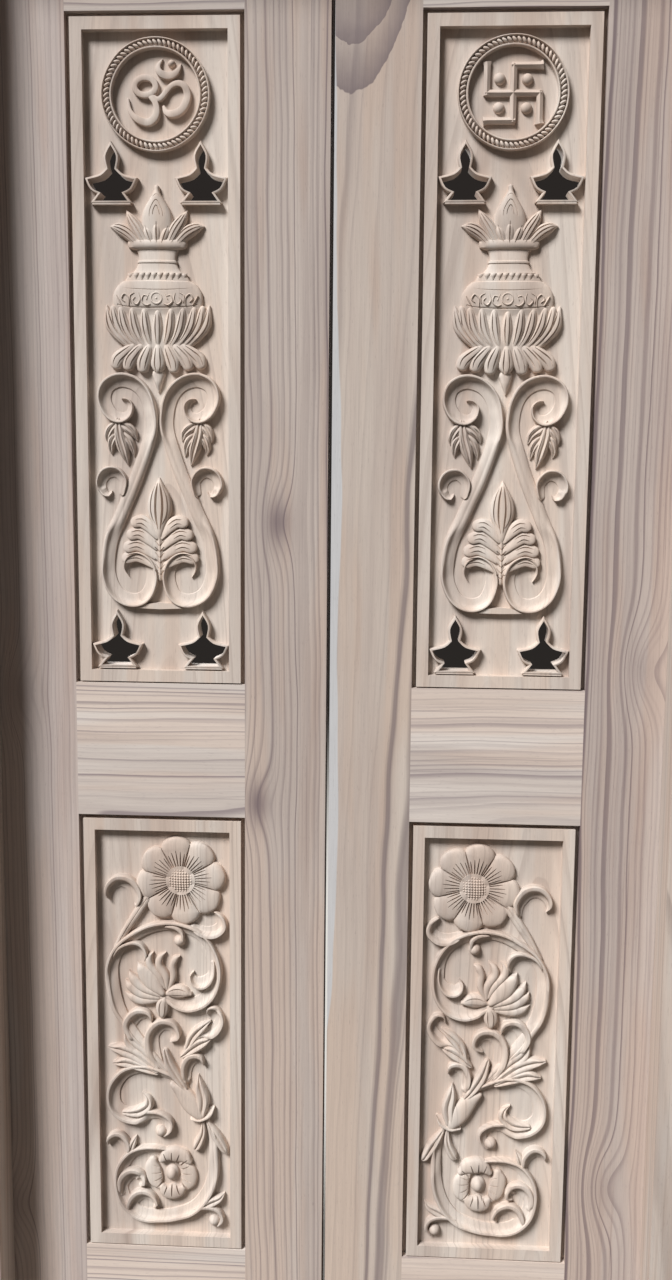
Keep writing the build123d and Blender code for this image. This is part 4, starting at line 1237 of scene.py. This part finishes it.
# %% Planks
border, carving_depth, plank_thickness = 16.0, 12.0, 30.0
field_side, field_low, field_top = 6.0, 2.0, 6.5
tongue_side, tongue_low, tongue_top = 10.0, 12.0, 9.0
tongue_back, tongue_front = -11.1, -0.9


def slab(half, low, high, back, front):
    """A block as wide as twice half, from low to high and from back to front."""
    return prism([(-half, low), (half, low), (half, high), (-half, high)], back, front)


def plank(width, height):
    """The plank without its carving: field, tongue and sunk ground, as three pieces."""
    half, low, high = width / 2 - field_side, field_low, height - field_top
    field = slab(half, low, high, carving_depth - plank_thickness, carving_depth)
    tongue = slab(width / 2 + tongue_side, -tongue_low, height + tongue_top, tongue_back, tongue_front)
    recess = slab(half - border, low + border, high - border, 0.0, 20.0)
    return field, tongue, recess


print("tongue:", round(tongue_front - tongue_back, 1), "mm thick")

# %% Joining shells


def to_object(name, piece):
    """A shell in millimetres as a Blender object in metres, with its faces pointing outwards."""
    points, faces = piece
    mesh = bpy.data.meshes.new(name)
    mesh.from_pydata([(x / 1000, -y / 1000, z / 1000) for x, y, z in points], [], faces)
    body = bmesh.new()
    body.from_mesh(mesh)
    bmesh.ops.remove_doubles(body, verts=body.verts, dist=1e-7)
    bmesh.ops.recalc_face_normals(body, faces=body.faces)
    body.to_mesh(mesh)
    body.free()
    return bpy.data.objects.new(name, mesh)


def group_of(name, pieces):
    """A collection of shells, for one Boolean modifier."""
    collection = bpy.data.collections.new(name)
    bpy.context.scene.collection.children.link(collection)
    for number, piece in enumerate(pieces):
        collection.objects.link(to_object(f"{name} {number}", piece))
    return collection


def clear(collection):
    """Removes the shells once they are used."""
    for item in list(collection.objects):
        mesh = item.data
        bpy.data.objects.remove(item)
        bpy.data.meshes.remove(mesh)
    bpy.data.collections.remove(collection)


def combine(base, steps):
    """Joins and cuts a base object with groups of shells, and returns the plain mesh."""
    bpy.context.scene.collection.objects.link(base)
    used = []
    for number, (operation, pieces) in enumerate(steps):
        if not pieces:
            continue
        collection = group_of(f"{base.name} {operation.lower()} {number}", pieces)
        used.append(collection)
        modifier = base.modifiers.new(operation.lower(), "BOOLEAN")
        modifier.operation = operation
        modifier.operand_type = "COLLECTION"
        modifier.collection = collection
        modifier.solver = "MANIFOLD"
    result = bpy.data.meshes.new_from_object(base.evaluated_get(bpy.context.evaluated_depsgraph_get()))
    for collection in used:
        clear(collection)
    mesh = base.data
    bpy.data.objects.remove(base)
    bpy.data.meshes.remove(mesh)
    return result


def carve(name, width, height, raised, grooves, openings):
    """One carved plank's mesh, still on its drawing."""
    field, tongue, recess = plank(width, height)
    return combine(to_object(name, field), [
        ("DIFFERENCE", [recess]), ("UNION", [tongue]), ("UNION", raised),
        ("DIFFERENCE", grooves), ("DIFFERENCE", openings)])


print("shells to join on the tall plank:", len(upper) + len(left_sign))

# %% Carve the four planks
plank_width, upper_height, lower_height = 235.0, 880.0, 652.0
carved = {
    "left_upper_panel": carve("left tall plank", plank_width, upper_height, upper + left_sign, cuts,
                              holes),
    "right_upper_panel": carve("right tall plank", plank_width, upper_height, upper + right_sign, cuts,
                               holes),
    "left_lower_panel": carve("left short plank", plank_width, lower_height, lower, lower_cuts, []),
    "right_lower_panel": carve("right short plank", plank_width, lower_height,
                               [mirror(piece) for piece in lower],
                               [mirror(piece) for piece in lower_cuts], []),
}
for name, mesh in carved.items():
    print(name, len(mesh.vertices), "points", len(mesh.polygons), "faces")

# %% [markdown]
# A carved plank is never quite the drawing: a slow noise moves each one's carving by about half a
# millimetre, differently on each plank. The noise has a fixed seed, because Blender would take it
# from the clock. Then the plank takes its place in the leaf, and a log of its own. Carved wood is
# left a little rougher than planed wood, and its figure is paler.

# %% Place the planks
leaf_of = {"left": "left_leaf", "right": "right_leaf"}
ground_y = 27.5
drift_most, per_metre, carved_half = 0.0006, 22, 0.0955
panel_figure = dict(ring=7.0, waviness=12.0, line=0.4, wood="#beb0a6", light_wood="#d3c8be",
                    dark_wood="#94837a", rough_cut=0.35)
panel_logs = {
    "left_upper_panel": dict(pith_across=10.0, pith_depth=120.0, lean_depth=0.10, seed=101.0),
    "right_upper_panel": dict(pith_across=-14.0, pith_depth=110.0, lean_depth=0.12, seed=113.0),
    "left_lower_panel": dict(pith_across=-90.0, pith_depth=70.0, lean_depth=0.05, seed=127.0),
    "right_lower_panel": dict(pith_across=70.0, pith_depth=80.0, lean_depth=0.07, seed=139.0),
}
noise.seed_set(5)
for number, (node_name, mesh) in enumerate(carved.items()):
    low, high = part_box(node_name)
    centre_x, bottom = (low[0] + high[0]) / 2, low[2] + tongue_low / 1000
    for vertex in mesh.vertices:
        x, y, z = vertex.co
        height = -y * 1000
        if 0.2 < height < carving_depth - 0.05 and abs(x) < carved_half:
            drift = noise.noise_vector(Vector((x * per_metre + 7 * number, 3.0 * number, z * per_metre)))
            x += drift_most * drift.x
            z += drift_most * drift.z
        vertex.co = (x + centre_x, y + ground_y / 1000, z + bottom)
    mesh.shade_smooth()
    mesh.set_sharp_from_angle(angle=math.radians(38))
    piece = bpy.data.objects.new(node_name.replace("_panel", "_carving"), mesh)
    bpy.context.scene.collection.objects.link(piece)
    mesh.materials.clear()
    mesh.materials.append(teak("carved teak, " + node_name.replace("_", " "), middle(node_name),
                               **panel_figure, **panel_logs[node_name]))
    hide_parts(node_name)
    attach(piece, leaf_of[node_name.split("_")[0]])
    print(piece.name, len(mesh.polygons), "faces")

# %% [markdown]
# ## What repeats: rope, teeth and seeds
# A rope of slanted strands lies in the medallion's channel, a row of teeth runs round the pot's
# shoulder, and the large flower's heart is cut into small seeds. These repeat by a rule, so Geometry
# Nodes make them: points first, one small shape on every point, then real faces.

# %% Trees
NUMBER, COUNT, TRIPLE = "NodeSocketFloat", "NodeSocketInt", "NodeSocketVector"
SKIN, SHAPE = "NodeSocketMaterial", "NodeSocketGeometry"
quarter_turn = math.radians(90)


def new_tree(name, inputs):
    """A Geometry Nodes tree with named inputs."""
    tree = bpy.data.node_groups.new(name, "GeometryNodeTree")
    for label, (kind, value) in inputs.items():
        socket = tree.interface.new_socket(label, in_out="INPUT", socket_type=kind)
        if value is not None:
            socket.default_value = value
    tree.interface.new_socket("Geometry", in_out="OUTPUT", socket_type="NodeSocketGeometry")
    return tree, add(tree, "NodeGroupInput").outputs


def end_tree(tree, geometry, given):
    """Turns a tree's copies to real faces with a material, and ends the tree."""
    real = add(tree, "GeometryNodeRealizeInstances", [geometry])
    painted = add(tree, "GeometryNodeSetMaterial", {"Geometry": real, "Material": given["Material"]})
    add(tree, "NodeGroupOutput", [painted])


def row_of(tree, points, shape, given, rotation=None):
    """Puts the shape on every point, turns the row to face the viewer, and ends the tree."""
    inputs = {"Points": points, "Instance": shape, "Scale": given["Size"]}
    if rotation:
        inputs["Rotation"] = rotation
    placed = add(tree, "GeometryNodeInstanceOnPoints", inputs)
    turned_up = add(tree, "GeometryNodeTransform", {"Geometry": placed, "Translation": given["Place"],
                                                    "Rotation": (quarter_turn, 0.0, 0.0)})
    end_tree(tree, turned_up, given)


def grown(name, tree, values, points=()):
    """Runs a tree, on some points if it needs them, and keeps its result as a plain mesh."""
    start = bpy.data.meshes.new(name + " start")
    start.from_pydata(points, [], [])
    holder = bpy.data.objects.new(name, start)
    bpy.context.scene.collection.objects.link(holder)
    modifier = holder.modifiers.new("grown", "NODES")
    modifier.node_group = tree
    for item in tree.interface.items_tree:
        if item.in_out == "INPUT" and item.name in values:
            modifier[item.identifier] = values[item.name]
    result = bpy.data.meshes.new_from_object(holder.evaluated_get(bpy.context.evaluated_depsgraph_get()))
    bpy.data.objects.remove(holder)
    # the copies bring an empty material slot in front of the real one
    result.materials.pop(index=0)
    result.shade_smooth()
    piece = bpy.data.objects.new(name, result)
    bpy.context.scene.collection.objects.link(piece)
    return piece


print("sockets:", NUMBER, COUNT, TRIPLE)

# %% Rope
rope_tree, given = new_tree("rope round a medallion", {
    "Strands": (COUNT, 64), "Radius": (NUMBER, 0.0650), "Size": (TRIPLE, None),
    "Slant": (NUMBER, 0.6), "Place": (TRIPLE, None), "Material": (SKIN, None)})
circle = add(rope_tree, "GeometryNodeMeshCircle", {"Vertices": given["Strands"],
                                                   "Radius": given["Radius"]})
strand = add(rope_tree, "GeometryNodeMeshUVSphere", {"Segments": 8, "Rings": 5, "Radius": 1.0})
where = add(rope_tree, "GeometryNodeInputPosition")
outward = add(rope_tree, "FunctionNodeAlignRotationToVector", {"Vector": where}, axis="X", pivot_axis="Z")
slant = add(rope_tree, "ShaderNodeCombineXYZ", {2: given["Slant"]})
slanted = add(rope_tree, "FunctionNodeRotateRotation", [outward, slant], rotation_space="LOCAL")
row_of(rope_tree, circle, strand, given, slanted)
print("rope:", len(rope_tree.nodes), "nodes")

# %% Teeth
tooth_tree, given = new_tree("teeth round a pot", {
    "Teeth": (COUNT, 10), "Half Row": (NUMBER, 0.0385), "Sag": (NUMBER, 0.001), "Fall": (NUMBER, 0.004),
    "Size": (TRIPLE, None), "Place": (TRIPLE, None), "Material": (SKIN, None)})
row = add(tooth_tree, "GeometryNodeMeshGrid", {"Size X": 2.0, "Size Y": 0.0, "Vertices X": given["Teeth"],
                                               "Vertices Y": 2})
where = add(tooth_tree, "GeometryNodeInputPosition")
share = add(tooth_tree, "ShaderNodeSeparateXYZ", [where]).outputs[0]
squared = add(tooth_tree, MATH, [share, share], operation="MULTIPLY")
fourth = add(tooth_tree, MATH, [squared, squared], operation="MULTIPLY")
across = add(tooth_tree, MATH, [share, given["Half Row"]], operation="MULTIPLY")
sag = add(tooth_tree, MATH, [squared, given["Sag"]], operation="MULTIPLY")
fall = add(tooth_tree, MATH, [fourth, given["Fall"]], operation="MULTIPLY")
sunk = add(tooth_tree, MATH, [0.0, fall], operation="SUBTRACT")
curve = add(tooth_tree, "ShaderNodeCombineXYZ", [across, sag, sunk])
bent = add(tooth_tree, "GeometryNodeSetPosition", {"Geometry": row, "Position": curve})
single = add(tooth_tree, "GeometryNodeMergeByDistance", {"Geometry": bent, "Distance": 0.0005})
cone = add(tooth_tree, "GeometryNodeMeshCone", {"Vertices": 12, "Side Segments": 3, "Radius Top": 0.08,
                                                "Radius Bottom": 1.0, "Depth": 2.0})
tooth = add(tooth_tree, "GeometryNodeTransform", {"Geometry": cone, "Translation": (0.0, 1.0, 0.0),
                                                  "Rotation": (quarter_turn, 0.0, 0.0)})
row_of(tooth_tree, single, tooth, given)
print("teeth:", len(tooth_tree.nodes), "nodes")

# %% Seeds
seed_tree, given = new_tree("seeds on a flower's heart", {
    "Rows": (COUNT, 13), "Radius": (NUMBER, 0.0205), "Height": (NUMBER, 0.011), "Size": (TRIPLE, None),
    "Place": (TRIPLE, None), "Material": (SKIN, None)})
twice = add(seed_tree, MATH, [given["Radius"], 2.0], operation="MULTIPLY")
grid = add(seed_tree, "GeometryNodeMeshGrid", {"Size X": twice, "Size Y": twice,
                                               "Vertices X": given["Rows"], "Vertices Y": given["Rows"]})
where = add(seed_tree, "GeometryNodeInputPosition")
reach = add(seed_tree, VECTOR, [where], operation="LENGTH").outputs["Value"]
share = add(seed_tree, MATH, [reach, given["Radius"]], operation="DIVIDE")
outside = add(seed_tree, MATH, [share, 0.97], operation="GREATER_THAN")
kept = add(seed_tree, "GeometryNodeDeleteGeometry", {"Geometry": grid, "Selection": outside})
under = add(seed_tree, MATH, [share, share], operation="MULTIPLY")
under = add(seed_tree, MATH, [1.0, under], operation="SUBTRACT", use_clamp=True)
under = add(seed_tree, MATH, [under, 0.5], operation="POWER")
lift = add(seed_tree, MATH, [under, given["Height"]], operation="MULTIPLY")
raised = add(seed_tree, "ShaderNodeCombineXYZ", {2: lift})
domed = add(seed_tree, "GeometryNodeSetPosition", {"Geometry": kept, "Offset": raised})
seed = add(seed_tree, "GeometryNodeMeshIcoSphere", {"Radius": 1.0, "Subdivisions": 2})
row_of(seed_tree, domed, seed, given)
print("seeds:", len(seed_tree.nodes), "nodes")

# %% Grow them on each leaf
rope_sizes = {"Strands": 64, "Radius": 0.0650, "Size": (0.0052, 0.0023, 0.0038),
              "Slant": math.radians(40)}
tooth_sizes = {"Teeth": 10, "Half Row": 0.0362, "Sag": -0.0006, "Fall": 0.0036,
               "Size": (0.0040, 0.0052, 0.0036)}
seed_sizes = {"Rows": 13, "Radius": 0.0224, "Height": 0.0098, "Size": (0.00165, 0.00165, 0.0018)}
ground = ground_y / 1000
rope_lift, tooth_lift, tooth_level = 0.0072, 0.0080, 0.5463


def panel_place(node_name):
    """A carved plank's centre line, the opening's lower edge, and its wood."""
    low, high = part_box(node_name)
    piece = bpy.data.objects[node_name.replace("_panel", "_carving")]
    return (low[0] + high[0]) / 2, low[2] + tongue_low / 1000, piece.data.materials[0]


for side_name, side in (("left", -1), ("right", 1)):
    centre, bottom, skin = panel_place(f"{side_name}_upper_panel")
    rope_place = (centre, ground - rope_lift, bottom + medallion[1] / 1000)
    rope = grown(f"{side_name}_rope", rope_tree, rope_sizes | {"Place": rope_place, "Material": skin})
    tooth_place = (centre, ground - tooth_lift, bottom + tooth_level)
    teeth = grown(f"{side_name}_teeth", tooth_tree, tooth_sizes | {"Place": tooth_place, "Material": skin})
    centre, bottom, skin = panel_place(f"{side_name}_lower_panel")
    seed_place = (centre - side * flower[0] / 1000, ground, bottom + flower[1] / 1000)
    seeds = grown(f"{side_name}_seeds", seed_tree, seed_sizes | {"Place": seed_place, "Material": skin})
    for piece in (rope, teeth, seeds):
        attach(piece, leaf_of[side_name])
        print(piece.name, len(piece.data.polygons), "faces")

# %% [markdown]
# ## Screws in the hinge plates
# Each plate is held by four countersunk screws with a cross slot, in two staggered rows. Their heads
# stand a fifth of a millimetre proud of the plate, in the gap that the two plates leave. One tree
# makes the head once, sets four of them on each plate's middle, and turns them to the open side.

# %% Screw head
screw_tree, given = new_tree("screws in a hinge plate", {
    "Geometry": (SHAPE, None), "Pitch": (NUMBER, 0.025), "Stagger": (NUMBER, 0.005),
    "Head": (NUMBER, 0.004), "Stand": (NUMBER, 0.00018), "Slot": (NUMBER, 0.0009),
    "Facing": (NUMBER, 1.0), "Material": (SKIN, None)})
head = add(screw_tree, "GeometryNodeMeshCone", {"Vertices": 24, "Radius Top": 0.0036,
                                                "Radius Bottom": given["Head"], "Depth": given["Stand"]})
arm = add(screw_tree, "ShaderNodeCombineXYZ", [given["Head"], given["Slot"], 0.002])
bar = add(screw_tree, "GeometryNodeMeshCube", {"Size": arm})
crossing = add(screw_tree, "GeometryNodeTransform", {"Geometry": bar,
                                                     "Rotation": (0.0, 0.0, quarter_turn)})
cross = add(screw_tree, "GeometryNodeMeshBoolean", operation="DIFFERENCE", solver="EXACT")
screw_tree.links.new(head.outputs[0], cross.inputs["Mesh 1"])
for cutter in (bar, crossing):
    screw_tree.links.new(cutter.outputs[0], cross.inputs["Mesh 2"])
on_side = add(screw_tree, "GeometryNodeTransform", {"Geometry": cross,
                                                    "Rotation": (0.0, quarter_turn, 0.0)})
print("screw head:", len(screw_tree.nodes), "nodes")

# %% Rows of screws
index = add(screw_tree, "GeometryNodeInputIndex")
odd = add(screw_tree, MATH, [index, 2.0], operation="MODULO")
odd = add(screw_tree, MATH, [odd, 0.5], operation="SUBTRACT")
sideways = add(screw_tree, MATH, [odd, given["Stagger"]], operation="MULTIPLY")
upwards = add(screw_tree, MATH, [index, 1.5], operation="SUBTRACT")
upwards = add(screw_tree, MATH, [upwards, given["Pitch"]], operation="MULTIPLY")
spot = add(screw_tree, "ShaderNodeCombineXYZ", {1: sideways, 2: upwards})
line = add(screw_tree, "GeometryNodeMeshLine", {"Count": 4, "Offset": (0.0, 0.0, 1.0)}, mode="OFFSET")
spots = add(screw_tree, "GeometryNodeSetPosition", {"Geometry": line, "Position": spot})
row = add(screw_tree, "GeometryNodeInstanceOnPoints", {"Points": spots, "Instance": on_side})
where = add(screw_tree, "GeometryNodeInputPosition")
side_of = add(screw_tree, "ShaderNodeSeparateXYZ", [where]).outputs[0]
side_of = add(screw_tree, MATH, [side_of, given["Facing"]], operation="MULTIPLY")
turned_round = add(screw_tree, MATH, [side_of, 0.0], operation="GREATER_THAN")
half_turn = add(screw_tree, MATH, [turned_round, math.pi], operation="MULTIPLY")
spin = add(screw_tree, "ShaderNodeCombineXYZ", {2: half_turn})
rows = add(screw_tree, "GeometryNodeInstanceOnPoints", {"Points": given["Geometry"], "Instance": row,
                                                        "Rotation": spin})
end_tree(screw_tree, rows, given)
print("rows of screws:", len(screw_tree.nodes), "nodes")

# %% Screws
half_gap, plate_middle = 0.00025, 0.015
for body, kind, facing in (("frame", "frame_plate", 1.0), ("left_leaf", "leaf_plate", -1.0),
                           ("right_leaf", "leaf_plate", -1.0)):
    side_name = "" if body == "frame" else body[:-5]
    centres = []
    for node_name in nodes:
        if not node_name.endswith(kind) or not node_name.startswith(side_name):
            continue
        low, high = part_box(node_name)
        pin_low, pin_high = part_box(node_name.replace(kind, "hinge_pin"))
        axis = (pin_low[0] + pin_high[0]) / 2
        face = axis + math.copysign(half_gap, axis) * facing
        centres.append((face, low[1] + plate_middle, (low[2] + high[2]) / 2))
    screws = grown(f"{body}_screws", screw_tree, {"Facing": facing, "Material": steel}, centres)
    screws.data.shade_flat()
    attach(screws, body)
    print(screws.name, len(centres), "plates", len(screws.data.polygons), "faces")
